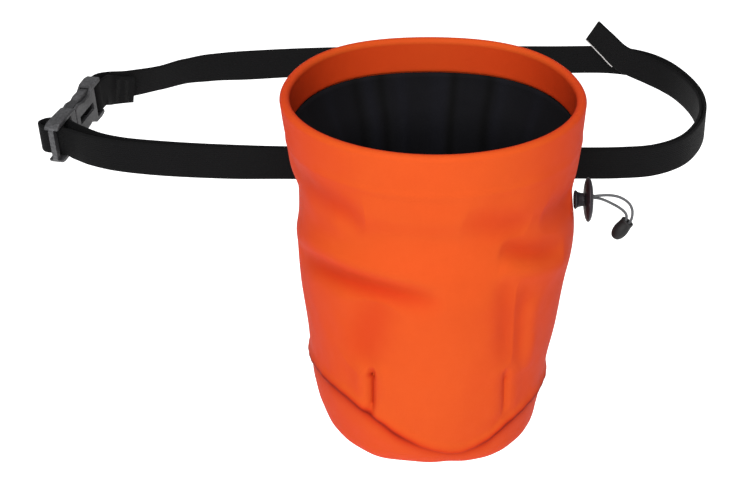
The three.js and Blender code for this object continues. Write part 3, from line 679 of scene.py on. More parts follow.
@dataclass(frozen=True)
class Finish:
    """What every finish has: its name, its two tones and its roughness.

    Attributes:
        name: The material's name.
        tone: The main colour.
        shade: The colour of its darker places.
        rough: Roughness.
    """

    name: str
    tone: tuple[float, float, float]
    shade: tuple[float, float, float]
    rough: float

    def start(self, **constants: Any) -> tuple[Material, Graph, bpy.types.Node]:
        """Makes an empty material with a Principled shader.

        Args:
            constants: Values for the shader's own sockets, with _ for a space.
        Returns:
            The material, its graph and its shader.
        """
        material = bpy.data.materials.new(self.name)
        material.use_nodes = True
        graph = Graph(material.node_tree)
        shader = material.node_tree.nodes["Principled BSDF"]
        shader.inputs["Roughness"].default_value = self.rough
        for key, value in constants.items():
            shader.inputs[key.replace("_", " ")].default_value = value
        return material, graph, shader

    def face(self, graph: Graph, share: Socket) -> Socket:
        """The tone, mixed into the shade by a share."""
        return graph.mixed(share, self.tone, self.shade)


@dataclass(frozen=True)
class ClothFinish(Finish):
    """Woven cloth with a soft sheen. Its colour also carries painted shade where it turns away from the eye
    and in its creases.

    Attributes:
        pitch: Distance between threads.
        sheen: Strength of the sheen.
        depth: How far the weave stands up.
        clouds: How strongly the tone varies.
        edge_shade: The colour where the cloth turns away from the eye: painted shade for the light falling
            off towards its sides.
        hollow_shade: The colour in shallow folds: painted shade.
        deep: The colour in creases: painted shade in deep folds, dart lines and the seam's shadow.
        gloss: Strength of its reflections.
    """

    pitch: float = 0.45 * MM
    sheen: float = 0.25
    depth: float = 0.05 * MM
    clouds: float = 0.5
    edge_shade: tuple[float, float, float] = (0.004, 0.004, 0.005)
    hollow_shade: tuple[float, float, float] = (0.0025, 0.0025, 0.0033)
    deep: tuple[float, float, float] = (0.001, 0.001, 0.0012)
    gloss: float = 0.15

    def made(self, effects: Effects) -> Material:
        """Builds the material.

        Args:
            effects: The shared effects.
        Returns:
            The material.
        """
        material, graph, shader = self.start(
            Sheen_Weight=self.sheen, Sheen_Roughness=0.45, Specular_IOR_Level=self.gloss
        )
        shader.inputs["Sheen Tint"].default_value = colour([min(1.0, value + 0.25) for value in self.tone])
        pattern, place = graph.pattern(), graph.object_place()
        weave = graph.group(effects.woven, pattern, Pitch=self.pitch)
        clouds = graph.group(effects.mottle, place, Scale=24.0, Fine=0.4)
        slubs = graph.mapped(graph.noise(pattern, 1400.0, Detail=1.0), 0.4, 0.7, 0.0, 0.12)
        dark = graph.math("MULTIPLY", clouds, self.clouds)
        # Painted shade in the gaps between the threads: darker where the weave lies low.
        gaps = graph.mapped(weave, 0.1, 0.7, 0.30, 0.0)
        share = graph.math("ADD", graph.math("ADD", dark, gaps), slubs)
        face = self.face(graph, share)
        # Painted shade: darker and redder where the cloth turns away from the eye, where the frontal light
        # falls off.
        turned_away = graph.add("LayerWeight", {"Blend": 0.5}).outputs["Facing"]
        side = graph.mixed(graph.mapped(turned_away, 0.25, 0.85, 0.0, 1.0), face, self.edge_shade)
        # Painted shade in folds, darts and along the seam, set by the mesh's painted-shade attribute: first
        # the hollow colour, then the crease colour.
        shade_depth = graph.add("Attribute", attribute_name="PaintedShade").outputs["Fac"]
        shallow = graph.mixed(graph.mapped(shade_depth, 0.0, 0.5, 0.0, 1.0), side, self.hollow_shade)
        deep = graph.mixed(graph.mapped(shade_depth, 0.5, 1.0, 0.0, 1.0), shallow, self.deep)
        rough = graph.math("MULTIPLY_ADD", clouds, 0.12, self.rough - 0.06)
        soft = graph.bump(graph.noise(place, 140.0, Detail=3.0, Distortion=0.6), 0.5 * MM, 0.35)
        fine = graph.bump(weave, self.depth, 0.7, Normal=soft)
        graph.feed(shader, {"Base Color": deep, "Roughness": rough, "Normal": fine})
        return material


@dataclass(frozen=True)
class WebbingFinish(Finish):
    """Ribbed nylon webbing."""

    cord: float = 0.95 * MM

    def made(self, effects: Effects) -> Material:
        """Builds the material.

        Args:
            effects: The shared effects.
        Returns:
            The material.
        """
        material, graph, shader = self.start(Sheen_Weight=0.01, Sheen_Roughness=0.5, Specular_IOR_Level=0.07)
        pattern = graph.pattern()
        ribs = graph.group(effects.ribbed, pattern, Cord=self.cord)
        clouds = graph.group(effects.mottle, graph.object_place(), Scale=60.0, Fine=0.5)
        # Painted shade in the grooves between the cords: darker where the ribs lie low.
        deep = graph.mapped(ribs, 0.15, 0.9, 0.75, 0.0)
        share = graph.math("MULTIPLY_ADD", clouds, 0.25, deep)
        face = self.face(graph, share)
        fuzz = graph.bump(graph.noise(pattern, 5000.0, Detail=2.0), 0.05 * MM, 0.5)
        fine = graph.bump(ribs, 0.16 * MM, 0.8, Normal=fuzz)
        graph.feed(shader, {"Base Color": face, "Normal": fine})
        return material


@dataclass(frozen=True)
class PlasticFinish(Finish):
    """Moulded plastic with a fine grain and rubbed edges.

    Attributes:
        rubbed: The colour of rubbed edges.
        grain: How far the grain stands up.
    """

    rubbed: tuple[float, float, float] = (0.2, 0.2, 0.2)
    grain: float = 0.03 * MM

    def made(self, effects: Effects) -> Material:
        """Builds the material.

        Args:
            effects: The shared effects.
        Returns:
            The material.
        """
        material, graph, shader = self.start(Specular_IOR_Level=0.22)
        place = graph.object_place()
        clouds = graph.group(effects.mottle, place, Scale=120.0, Fine=0.5)
        wear = graph.group(effects.wear, place)
        base = self.face(graph, clouds)
        face = graph.mixed(wear, base, self.rubbed)
        rough = graph.math("MULTIPLY_ADD", clouds, 0.14, self.rough - 0.07)
        grain = graph.bump(graph.noise(place, 3800.0, Detail=2.0), self.grain, 0.5)
        graph.feed(shader, {"Base Color": face, "Roughness": rough, "Normal": grain})
        return material


@dataclass(frozen=True)
class ThreadFinish(Finish):
    """Twisted or braided thread and cord.

    Attributes:
        pitch: Distance between strands.
    """

    pitch: float = 0.5 * MM

    def made(self, effects: Effects) -> Material:
        """Builds the material.

        Args:
            effects: The shared effects.
        Returns:
            The material.
        """
        material, graph, shader = self.start(Sheen_Weight=0.05, Specular_IOR_Level=0.15)
        braid = graph.group(effects.braided, graph.pattern(), Pitch=self.pitch)
        clouds = graph.group(effects.mottle, graph.object_place(), Scale=300.0, Fine=0.5)
        # Painted shade in the grooves between the strands: darker where the braid lies low.
        deep = graph.mapped(braid, 0.2, 0.9, 0.7, 0.0)
        share = graph.math("MULTIPLY_ADD", clouds, 0.3, deep)
        face = self.face(graph, share)
        strands = graph.bump(braid, 0.08 * MM, 0.8)
        graph.feed(shader, {"Base Color": face, "Normal": strands})
        return material


@dataclass(frozen=True)
class Wardrobe:
    """All finishes of the bag, built once."""

    effects: Effects = field(default_factory=Effects)
    # The shell's colours for the turned-away sides, the fold hollows and the creases are painted shade.
    shell_cloth: ClothFinish = ClothFinish(
        "Orange shell cloth", (0.385, 0.049, 0.0075), (0.335, 0.036, 0.006), 0.62, sheen=0.0, clouds=0.30,
        edge_shade=(0.41, 0.028, 0.006), hollow_shade=(0.335, 0.023, 0.004), deep=(0.15, 0.006, 0.002), gloss=0.03,
    )
    # The lining and the label take the default colours for turned-away sides, hollows and creases, which are
    # painted shade.
    lining_cloth: ClothFinish = ClothFinish(
        "Black lining cloth", (0.0038, 0.0039, 0.0058), (0.0024, 0.0024, 0.0036), 0.85,
        pitch=0.6 * MM, sheen=0.02, gloss=0.08,
    )
    webbing_nylon: WebbingFinish = WebbingFinish(
        "Black webbing", (0.0024, 0.0024, 0.0026), (0.0012, 0.0012, 0.0014), 0.8
    )
    label_satin: ClothFinish = ClothFinish(
        "Black label cloth", (0.006, 0.006, 0.0065), (0.003, 0.003, 0.0035), 0.5, pitch=0.3 * MM, sheen=0.03
    )
    buckle_nylon: PlasticFinish = PlasticFinish(
        "Grey buckle plastic", (0.021, 0.021, 0.022), (0.010, 0.010, 0.011), 0.5, rubbed=(0.06, 0.06, 0.063)
    )
    toggle_nylon: PlasticFinish = PlasticFinish(
        "Dark toggle plastic", (0.011, 0.008, 0.011), (0.006, 0.005, 0.007), 0.5, rubbed=(0.035, 0.030, 0.035)
    )
    end_nylon: PlasticFinish = PlasticFinish(
        "Black end plastic", (0.0045, 0.0042, 0.0046), (0.003, 0.003, 0.0032), 0.6,
        rubbed=(0.014, 0.013, 0.014),
    )
    grey_cord: ThreadFinish = ThreadFinish(
        "Grey drawcord", (0.072, 0.074, 0.078), (0.018, 0.019, 0.021), 0.6, pitch=0.45 * MM
    )
    black_thread: ThreadFinish = ThreadFinish(
        "Black thread", (0.003, 0.003, 0.0032), (0.0015, 0.0015, 0.0016), 0.8
    )
    pale_thread: ThreadFinish = ThreadFinish(
        "Pale edge thread", (0.42, 0.41, 0.40), (0.20, 0.19, 0.19), 0.6
    )

    @cached_property
    def materials(self) -> dict[str, Material]:
        """The materials by their finish's name.

        Returns:
            The materials, each built once.
        """
        return {
            label: finish.made(self.effects)
            for label, finish in vars(self).items()
            if isinstance(finish, Finish)
        }


def dressed(piece: Piece, material: Material, slot: Slot, *nodes: str) -> Piece:
    """Gives a piece its material and its body, and hides the solids that it stands for.

    Args:
        piece: The piece.
        material: Its finish.
        slot: The record's material slot; not used.
        nodes: The solids that it stands for.
    Returns:
        The piece.
    """
    piece.data.materials.clear()
    piece.data.materials.append(material)
    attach(piece, "root")
    if nodes:
        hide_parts(*nodes)
    LOG.info("%s: %d faces, %s", piece.name, len(piece.data.polygons), material.name)
    return piece


# Studio


@dataclass(frozen=True)
class Softbox:
    """A soft square light: its name and place, its side in metres and its power in watts."""

    name: str
    place: tuple[float, float, float]
    size: float
    power: float


@dataclass(frozen=True)
class Studio:
    """Pale floor, soft lights and the camera.

    Attributes:
        target: The point that the camera looks at.
        distance: How far the camera stands off.
        pitch: How far it looks down, in degrees.
        lens: Focal length in millimetres.
        floor: Height of the floor.
        reach: How far the floor goes each way.
        glow: Strength of the floor's own light.
        sky: Strength of the light from all sides.
        lamps: The soft lights.
    """

    target: tuple[float, float, float] = (-0.0027, -0.1213, -0.0072)
    distance: float = 0.757
    pitch: float = 28.3
    lens: float = 85.0
    floor: float = -0.55
    reach: float = 6.0
    glow: float = 0.8
    sky: float = 0.45
    lamps: tuple[Softbox, ...] = (
        Softbox("Front softbox", (-0.24, -1.60, 0.80), 1.0, 38.0),
        Softbox("Top softbox", (0.0, -0.75, 1.2), 1.0, 14.0),
    )

    def camera(self) -> None:
        """Sets up the camera."""
        data = bpy.data.cameras.new("Camera")
        data.lens = self.lens
        data.clip_start = 0.01
        camera = bpy.data.objects.new("Camera", data)
        tilt = math.radians(self.pitch)
        camera.location = Vector(self.target) + self.distance * Vector((0, -math.cos(tilt), math.sin(tilt)))
        camera.rotation_euler = (math.pi / 2 - tilt, 0, 0)
        bpy.context.scene.collection.objects.link(camera)
        bpy.context.scene.camera = camera

    def ground(self) -> None:
        """Lays the floor."""
        signs = ((-1, -1), (1, -1), (1, 1), (-1, 1))
        corners = [(x * self.reach, y * self.reach, self.floor) for x, y in signs]
        mesh = bpy.data.meshes.new("Floor")
        mesh.from_pydata(corners, [], [(0, 1, 2, 3)])
        floor = placed("Floor", mesh)
        material = bpy.data.materials.new("Pale floor")
        material.use_nodes = True
        graph = Graph(material.node_tree)
        shader = material.node_tree.nodes["Principled BSDF"]
        grain = graph.mapped(graph.noise(graph.object_place(), 3.0), 0.3, 0.7, 0.0, 1.0)
        face = graph.mixed(grain, (0.93, 0.93, 0.93), (0.96, 0.96, 0.96))
        glow = {"Emission Color": (1.0, 1.0, 1.0, 1.0), "Emission Strength": self.glow}
        graph.feed(shader, {"Base Color": face, "Roughness": 0.9, **glow})
        mesh.materials.append(material)

    def light(self, lamp: Softbox) -> None:
        """Hangs a soft light that faces the bag.

        Args:
            lamp: The light.
        """
        data = bpy.data.lights.new(lamp.name, "AREA")
        data.size = lamp.size
        data.energy = lamp.power
        hung = bpy.data.objects.new(lamp.name, data)
        hung.location = lamp.place
        hung.rotation_euler = (Vector(self.target) - Vector(lamp.place)).to_track_quat("-Z", "Y").to_euler()
        bpy.context.scene.collection.objects.link(hung)

    def lit(self) -> None:
        """Lights the studio."""
        scene = bpy.context.scene
        world = bpy.data.worlds.new("Studio")
        scene.world = world
        world.use_nodes = True
        sky = world.node_tree.nodes["Background"]
        sky.inputs["Color"].default_value = (1.0, 1.0, 1.0, 1.0)
        sky.inputs["Strength"].default_value = self.sky
        scene.view_settings.view_transform = "Standard"
        for lamp in self.lamps:
            self.light(lamp)

    def built(self) -> None:
        """Builds the studio apart from the camera."""
        self.ground()
        self.lit()


# Drawcord and its toggle


@dataclass(frozen=True)
class Drawcord:
    """The toggle on the bag's side, the loop of cord through it and the end piece on the loop.

    Attributes:
        route: Places that the cord runs through, from the toggle round the end piece and back.
        diameter: Thickness of the cord.
        mouth: Middle of the end piece's mouth.
        aim: The way that the end piece points.
        end_length: Length of the end piece.
        end_width: Its thickness.
        end_wall: Its wall round the cord.
        clear: Gap between the cord and the wall.
        spacing: About how far apart the rows of faces along the cord lie.
        sides: Faces round the cord.
    """

    route: tuple[tuple[float, float, float], ...] = (
        (0.0894, -0.1211, 0.0137), (0.0922, -0.1211, 0.0140), (0.0956, -0.1210, 0.0141),
        (0.0986, -0.1209, 0.0137), (0.1012, -0.1208, 0.0128), (0.1035, -0.1207, 0.0113),
        (0.1053, -0.1206, 0.0094), (0.1063, -0.1206, 0.0072), (0.1066, -0.1206, 0.0050),
        (0.1064, -0.1206, 0.0028), (0.10577, -0.1206, 0.00101), (0.10447, -0.1206, -0.00090),
        (0.10380, -0.1206, -0.00134), (0.10301, -0.1206, -0.00118), (0.10257, -0.1206, -0.00051),
        (0.10273, -0.1206, 0.00028), (0.10403, -0.1206, 0.00219), (0.1042, -0.1205, 0.0038),
        (0.1036, -0.1204, 0.0053), (0.1022, -0.1203, 0.0068), (0.1001, -0.1202, 0.0083),
        (0.0975, -0.1202, 0.0098), (0.0949, -0.1201, 0.0111), (0.0922, -0.1201, 0.0121),
        (0.0894, -0.1201, 0.0125),
    )
    diameter: float = 1.2 * MM
    mouth: tuple[float, float, float] = (0.1049, -0.1206, 0.0016)
    aim: tuple[float, float, float] = (-0.56, 0.0, -0.83)
    end_length: float = 10 * MM
    end_width: float = 6.4 * MM
    end_wall: float = 0.8 * MM
    clear: float = 0.3 * MM
    spacing: float = 0.3 * MM
    sides: int = 16

    def cord(self) -> Piece:
        """Makes the cord: a round section carried along the route.

        Returns:
            The piece, with its length as a property.
        """
        stations = np.array(self.route)
        at, along = spline(stations, evenly(stations, self.spacing))
        level = np.array([0.0, 1.0, 0.0])
        up = unit(level - along * (along @ level)[:, None])
        ribbon = Ribbon(at, along, up, np.cross(along, up))
        turn = 2 * np.pi * np.arange(self.sides) / self.sides
        section = np.stack([np.cos(turn), np.sin(turn)], -1) * self.diameter / 2
        piece = ribbon.strip("drawcord_braid", section)
        piece["length"] = float(lengths(at)[-1])
        return piece

    def end(self) -> Piece:
        """Makes the end piece: an egg with a neck and a pocket in which the cord turns back.

        Returns:
            The piece.
        """
        radius, length = self.end_width / 2, self.end_length
        pocket = radius - self.end_wall - self.clear
        neck = pocket + self.end_wall
        outline = np.array([
            (pocket * 0.05, length * 0.46), (pocket * 0.8, length * 0.44), (pocket, length * 0.36),
            (pocket, length * 0.08), (pocket * 1.04, length * 0.005), (neck * 0.93, -length * 0.005),
            (neck, length * 0.04), (neck * 0.97, length * 0.12), (radius * 0.93, length * 0.27),
            (radius * 0.995, length * 0.44), (radius, length * 0.56), (radius * 0.87, length * 0.76),
            (radius * 0.55, length * 0.925), (radius * 0.05, length),
        ])
        return turned("cord_end_egg", outline, np.array(self.mouth), np.array(self.aim), sides=48, steps=4)

    @staticmethod
    def on_side(node: str, name: str, shares: Sequence[tuple[float, float]], sides: int, steps: int) -> Piece:
        """Turns a piece about the sideways axis through the middle of a solid's box.

        Args:
            node: The solid.
            name: The name of the piece.
            shares: Radius and place along the axis, as shares of the box's radius and thickness.
            sides: How many faces go round.
            steps: How many faces lie between two points of the outline.
        Returns:
            The piece.
        """
        low, high = (np.array(corner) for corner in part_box(node))
        outline = np.array(shares) * ((high[2] - low[2]) / 2, high[0] - low[0])
        base = np.array([low[0], (low[1] + high[1]) / 2, (low[2] + high[2]) / 2])
        return turned(name, outline, base, np.array([1.0, 0.0, 0.0]), sides, steps)

    def lens(self) -> Piece:
        """Makes the toggle: a flat lens with a dimple round the hole that the cord leaves by.

        Returns:
            The piece.
        """
        shares = (
            (0.02, 0.0), (0.42, 0.0), (0.72, 0.09), (0.93, 0.27), (0.995, 0.42), (0.995, 0.56),
            (0.94, 0.72), (0.78, 0.88), (0.52, 0.985), (0.36, 1.0), (0.29, 0.97), (0.25, 0.90), (0.02, 0.87),
        )
        return self.on_side("cord_lock", "cord_lock_lens", shares, 96, 5)

    def eyelet(self) -> Piece:
        """Makes the stem between the bag and the toggle, with its flange on the cloth.

        Returns:
            The piece.
        """
        shares = (
            (0.02, 0.0), (0.85, 0.0), (0.97, 0.05), (1.0, 0.15), (0.95, 0.26), (0.84, 0.36),
            (0.78, 0.55), (0.72, 0.80), (0.70, 0.97), (0.66, 1.0), (0.02, 1.0),
        )
        return self.on_side("cord_eyelet", "cord_eyelet_stem", shares, 48, 4)

    def built(self, finishes: dict[str, Material]) -> None:
        """Args:
            finishes: The materials by their finish's name.
        """
        cord, end = self.cord(), self.end()
        dressed(end, finishes["end_nylon"], Slot.TOGGLE, "cord_end")
        dressed(cord, finishes["grey_cord"], Slot.CORD, "drawcord")
        dressed(self.lens(), finishes["toggle_nylon"], Slot.TOGGLE, "cord_lock")
        dressed(self.eyelet(), finishes["toggle_nylon"], Slot.TOGGLE, "cord_eyelet")


# Bag


@dataclass(frozen=True)
class Level:
    """A level of the bag: how far below the rim, as a share of its height, and its two half widths."""

    down: float
    left: float
    right: float


@dataclass(frozen=True)
class Fold:
    """A dent or ridge of the cloth along a line.

    Attributes:
        start: Angle and height below the rim, as a share of the bag's height, where it starts.
        end: The same where it ends.
        width: Width, as a share of the rim's half width.
        rise: Height as a share of the folds' height, below zero for a dent.
        bow: How far the line's middle stands above a straight one, as a share of the bag's height.
    """

    start: tuple[float, float]
    end: tuple[float, float]
    width: float
    rise: float
    bow: float = 0.0

    @classmethod
    def spot(cls, place: tuple[float, float]) -> "Fold":
        """A line that is a single place."""
        return cls(place, place, 0.0, 0.0)


@dataclass(frozen=True)
class Pleat:
    """A soft upright fold of the lining: its angle and width in degrees, and its height as a share."""

    angle: float
    width: float
    rise: float


@dataclass(frozen=True)
class Ridge:
    """A small ridge: how high it stands, and how far from its line it reaches."""

    rise: float
    reach: float

    def height(self, away: Array) -> Array:
        """Height at a distance from its line."""
        return self.rise * hump(away, self.reach)


LEVELS = (
    Level(0.013, 1.000, 1.000),
    Level(0.048, 0.987, 0.993),
    Level(0.120, 0.962, 0.979),
    Level(0.180, 0.938, 0.963),
    Level(0.235, 0.893, 0.938),
    Level(0.290, 0.888, 0.946),
    Level(0.350, 0.892, 0.964),
    Level(0.410, 0.903, 0.956),
    Level(0.480, 0.892, 0.926),
    Level(0.550, 0.874, 0.898),
    Level(0.625, 0.852, 0.874),
    Level(0.700, 0.833, 0.840),
    Level(0.770, 0.816, 0.816),
    Level(0.823, 0.796, 0.796),
    Level(0.863, 0.766, 0.774),
    Level(0.899, 0.720, 0.742),
    Level(0.927, 0.655, 0.692),
    Level(0.948, 0.560, 0.600),
    Level(0.965, 0.415, 0.450),
    Level(0.982, 0.210, 0.230),
    Level(1.000, 0.000, 0.000),
)

# Angle round the bag, and height below the rim as a share, of the seam over the base panel.
SEAM = (
    (-180.0, 0.770), (-110.0, 0.742), (-68.0, 0.726), (-47.0, 0.734), (-29.0, 0.768), (-15.0, 0.818),
    (2.0, 0.862), (14.0, 0.876), (28.0, 0.856), (40.0, 0.820), (60.0, 0.792), (110.0, 0.776), (180.0, 0.770),
)

FOLDS = (
    Fold((-80, 0.16), (-28, 0.195), 0.13, -0.75),
    Fold((-72, 0.225), (-34, 0.235), 0.10, 0.30),
    Fold((76, 0.25), (46, 0.215), 0.12, -0.50),
    Fold((10, 0.175), (40, 0.235), 0.12, -0.40),
    Fold((-96, 0.375), (12, 0.350), 0.090, 0.62, 0.035),
    Fold((-78, 0.405), (4, 0.395), 0.085, -0.98, 0.020),
    Fold((-20, 0.385), (-38, 0.64), 0.17, -0.50),
    Fold((26, 0.265), (62, 0.350), 0.085, -0.80, -0.010),
    Fold((26, 0.320), (72, 0.400), 0.090, 0.58),
    Fold((28, 0.34), (34, 0.63), 0.095, -0.38),
    Fold((37, 0.36), (44, 0.66), 0.090, -0.40),
    Fold((44, 0.44), (50, 0.68), 0.095, 0.35),
    Fold((-130, 0.33), (-165, 0.42), 0.11, -0.50),
    Fold((125, 0.42), (160, 0.52), 0.11, -0.45),
)

DARTS = (
    Fold((-28, 0.635), (-29.5, 0.752), 0.036, -0.50),
    Fold((35, 0.655), (37.5, 0.765), 0.036, -0.28),
)

# The sewn line of each dart. Its rise sets how deep the line sinks in and how dark the painted shade in it
# shows.
DART_LINES = (
    Fold((-28.4, 0.650), (-29.3, 0.738), 0.0085, 1.00),
    Fold((35.6, 0.672), (37.2, 0.748), 0.0080, 0.40),
)

# Shares of height are scaled up to the size of angles, so that the seam's curve runs evenly.
SEAM_SCALE = 1000.0

PLEATS = (
    Pleat(-160, 13, 0.80), Pleat(-128, 10, 0.55), Pleat(168, 12, 0.90), Pleat(141, 9, 0.60),
    Pleat(104, 12, 0.70), Pleat(52, 14, 0.60), Pleat(4, 13, 0.70), Pleat(-46, 14, 0.60), Pleat(-92, 12, 0.75),
)

# Narrow folds on top of the lining's pleats. Below zero they run into the cloth. They also set the lining's
# painted shade: darker in those that run in, lighter on the others.
LINING_CREASES = (
    Pleat(-168, 2.6, 0.30), Pleat(-159, 2.2, -0.35), Pleat(-153, 2.2, 0.30), Pleat(-147, 2.6, -0.30),
    Pleat(175, 4.0, 0.35), Pleat(169, 2.2, -0.40), Pleat(153, 2.4, -0.35), Pleat(147, 3.0, 0.25),
    Pleat(128, 3.0, 0.30), Pleat(-132, 3.0, 0.25), Pleat(-112, 3.0, 0.30),
)


def column(key: str) -> Array:
    """One column of LEVELS."""
    return np.array([getattr(level, key) for level in LEVELS])


@dataclass(frozen=True)
class BagForm:
    """The outer form of the bag, as a function of the angle round it and the level.

    Angles are in degrees from the front towards the right. A level is a row of LEVELS with its
    fraction.

    Attributes:
        axis: Where the bag's axis stands.
        top: Height of the rim's top.
        half: Half of the rim's width.
        roundness: Depth of the bag over its width.
        height: Height of the bag.
        fold_rise: Height of the highest fold.
        fullness: How far the back corners stand out at the rim.
        puff_aside: Angle between a dart and the puffs beside it.
        puff_width: Width of the puffs as a share of half the rim's width.
        puff_share: Height of the puffs as a share of the dart's depth.
    """

    axis: tuple[float, float]
    top: float
    half: float
    roundness: float
    height: float
    fold_rise: float = 3.1 * MM
    fullness: float = 3.0 * MM
    puff_aside: float = 5.5
    puff_width: float = 0.075
    puff_share: float = 0.55

    @classmethod
    def of_frame(cls) -> "BagForm":
        """Takes the place and size of the bag from the frame.

        Returns:
            The form.
        """
        low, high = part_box("shell_body")
        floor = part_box("base_panel")[0].z
        axis = ((low.x + high.x) / 2, (low.y + high.y) / 2)
        return cls(axis, high.z, (high.x - low.x) / 2, (high.y - low.y) / (high.x - low.x), high.z - floor)

    @cached_property
    def table(self) -> tuple[Array, Array]:
        """Rows of LEVELS at close steps, and how far below the rim each lies."""
        rows = np.linspace(0, len(LEVELS) - 1, 4000)
        return rows, self.down_at(rows)

    def down_at(self, row: Array) -> Array:
        """How far below the rim a level lies."""
        return through_rows(column("down"), row) * self.height

    def row_at(self, down: Array) -> Array:
        """The level that lies a given height below the rim."""
        rows, downs = self.table
        return np.interp(down, downs, rows)

    def reach(self, angle: Array, row: Array) -> tuple[Array, Array]:
        """How far the form stands off its axis, and how far below the rim.

        The half width passes from the left one to the right one with (1 + sin)/2 of the angle, and the
        back corners stand out by the square of the sine of twice the angle.

        Args:
            angle: Angles round the bag.
            row: Levels.
        Returns:
            The distances from the axis, and the heights below the rim.
        """
        down, left, right = (through_rows(column(key), row) for key in ("down", "left", "right"))
        turn = np.radians(angle)
        side = 0.5 + 0.5 * np.sin(turn)
        back = np.maximum(0.0, -np.cos(turn))
        full = self.fullness * back * np.sin(2 * turn) ** 2 * (1 - down)
        out = (left * (1 - side) + right * side) * self.half
        return out + full * np.minimum(1.0, left * self.half / MM), down * self.height

    def bell(self, angle: Array, down: Array, fold: Fold, width: float, aside: float = 0.0) -> Array:
        """Bell shape exp(-d²) of the distance d from a fold's line, on the unrolled surface.

        Args:
            angle: Angles.
            down: Heights below the rim.
            fold: The fold.
            width: Width of the bell, as a share of half the rim's width.
            aside: An angle that the line is moved by.
        Returns:
            The height of the bell, from 0 to 1.
        """
        unroll = math.radians(1) * self.half
        start = np.array([(fold.start[0] + aside) * unroll, fold.start[1] * self.height])
        along = np.array([(fold.end[0] + aside) * unroll, fold.end[1] * self.height]) - start
        turned_by = wrapped(angle - fold.start[0]) + fold.start[0]
        here = np.stack(np.broadcast_arrays(turned_by * unroll, down), -1) - start
        share = np.clip(here @ along / max(along @ along, MM**2), 0.0, 1.0)
        away = here - share[..., None] * along
        away[..., 1] += 4 * fold.bow * self.height * share * (1 - share)
        apart = np.linalg.norm(away, axis=-1) / (width * self.half)
        return hump(apart, 1.0)

    def tapered(self, angle: Array, down: Array, fold: Fold) -> Array:
        """Bell of a fold that fades to nothing at both ends: the bell times 1 - |2·share - 1|³.

        Args:
            angle: Angles round the bag.
            down: Heights below the rim.
            fold: The fold.
        Returns:
            The height of the bell, from 0 to 1.
        """
        (turn, down_from), (turn_to, down_to) = fold.start, fold.end
        middle = Fold.spot(((turn + turn_to) / 2, (down_from + down_to) / 2))
        across = (turn_to - turn) * math.radians(1) * self.half
        reach = math.hypot(across, (down_to - down_from) * self.height) / 2
        far = np.sqrt(-np.log(np.maximum(self.bell(angle, down, middle, reach / self.half), 1e-9)))
        return self.bell(angle, down, fold, fold.width) * (1 - np.minimum(1.0, far) ** 3)

    def relief(self, angle: Array, down: Array) -> Array:
        """Height of the folds: the highest ridge and the deepest dent at a place are added.

        Args:
            angle: Angles round the bag.
            down: Heights below the rim.
        Returns:
            The heights, below zero in dents.
        """
        ridge = np.zeros(np.broadcast(angle, down).shape)
        dent = ridge.copy()
        for fold in FOLDS:
            rise = fold.rise * self.tapered(angle, down, fold)
            ridge, dent = np.maximum(ridge, rise), np.minimum(dent, rise)
        for dart in DARTS:
            asides = (-self.puff_aside, self.puff_aside)
            puffs = sum(self.bell(angle, down, dart, self.puff_width, aside) for aside in asides)
            ridge = np.maximum(ridge, -self.puff_share * dart.rise * puffs)
            dent = np.minimum(dent, dart.rise * self.bell(angle, down, dart, dart.width))
        return (ridge + dent) * self.fold_rise

    @cached_property
    def seam_line(self) -> Array:
        """Close points of the smooth curve through SEAM, as angle and share of the bag's height.

        Returns:
            The points, with their shares of height scaled up.
        """
        marks = np.array(SEAM)
        before, after = marks[-2] - (360.0, 0.0), marks[1] + (360.0, 0.0)
        line = np.array([before, *marks, after]) * (1.0, SEAM_SCALE)
        return spline(line, np.linspace(0, len(line) - 1, 900))[0]

    def seam(self, angle: Array) -> Array:
        """How far below the rim the seam over the base panel lies."""
        line = self.seam_line
        return np.interp(wrapped(angle), line[:, 0], line[:, 1] / SEAM_SCALE) * self.height

    def place(self, angle: Array, out: Array, down: Array) -> Array:
        """The point at an angle, a distance from the axis and a height below the rim."""
        turn = np.radians(angle)
        x, y = self.axis[0] + out * np.sin(turn), self.axis[1] - self.roundness * out * np.cos(turn)
        return np.stack(np.broadcast_arrays(x, y, self.top - down), -1)

    def on_axis(self, down: float) -> Array:
        """The point of the axis at a height below the rim."""
        return self.place(np.array(0.0), np.array(0.0), np.array(down))

    def skin(self, angle: Array, row: Array, shift: Array) -> Array:
        """A point off the form.

        Args:
            angle: Angles.
            row: Levels.
            shift: How far outside the form it lies, square to its surface.
        Returns:
            The points.
        """
        step = 0.02
        out, down = self.reach(angle, row)
        above_out, above_down = self.reach(angle, np.maximum(0.0, row - step))
        below_out, below_down = self.reach(angle, np.minimum(len(LEVELS) - 1.0, row + step))
        normal = unit(np.stack([below_down - above_down, above_out - below_out], -1))
        return self.place(angle, np.maximum(0.0, out + normal[..., 0] * shift), down + normal[..., 1] * shift)


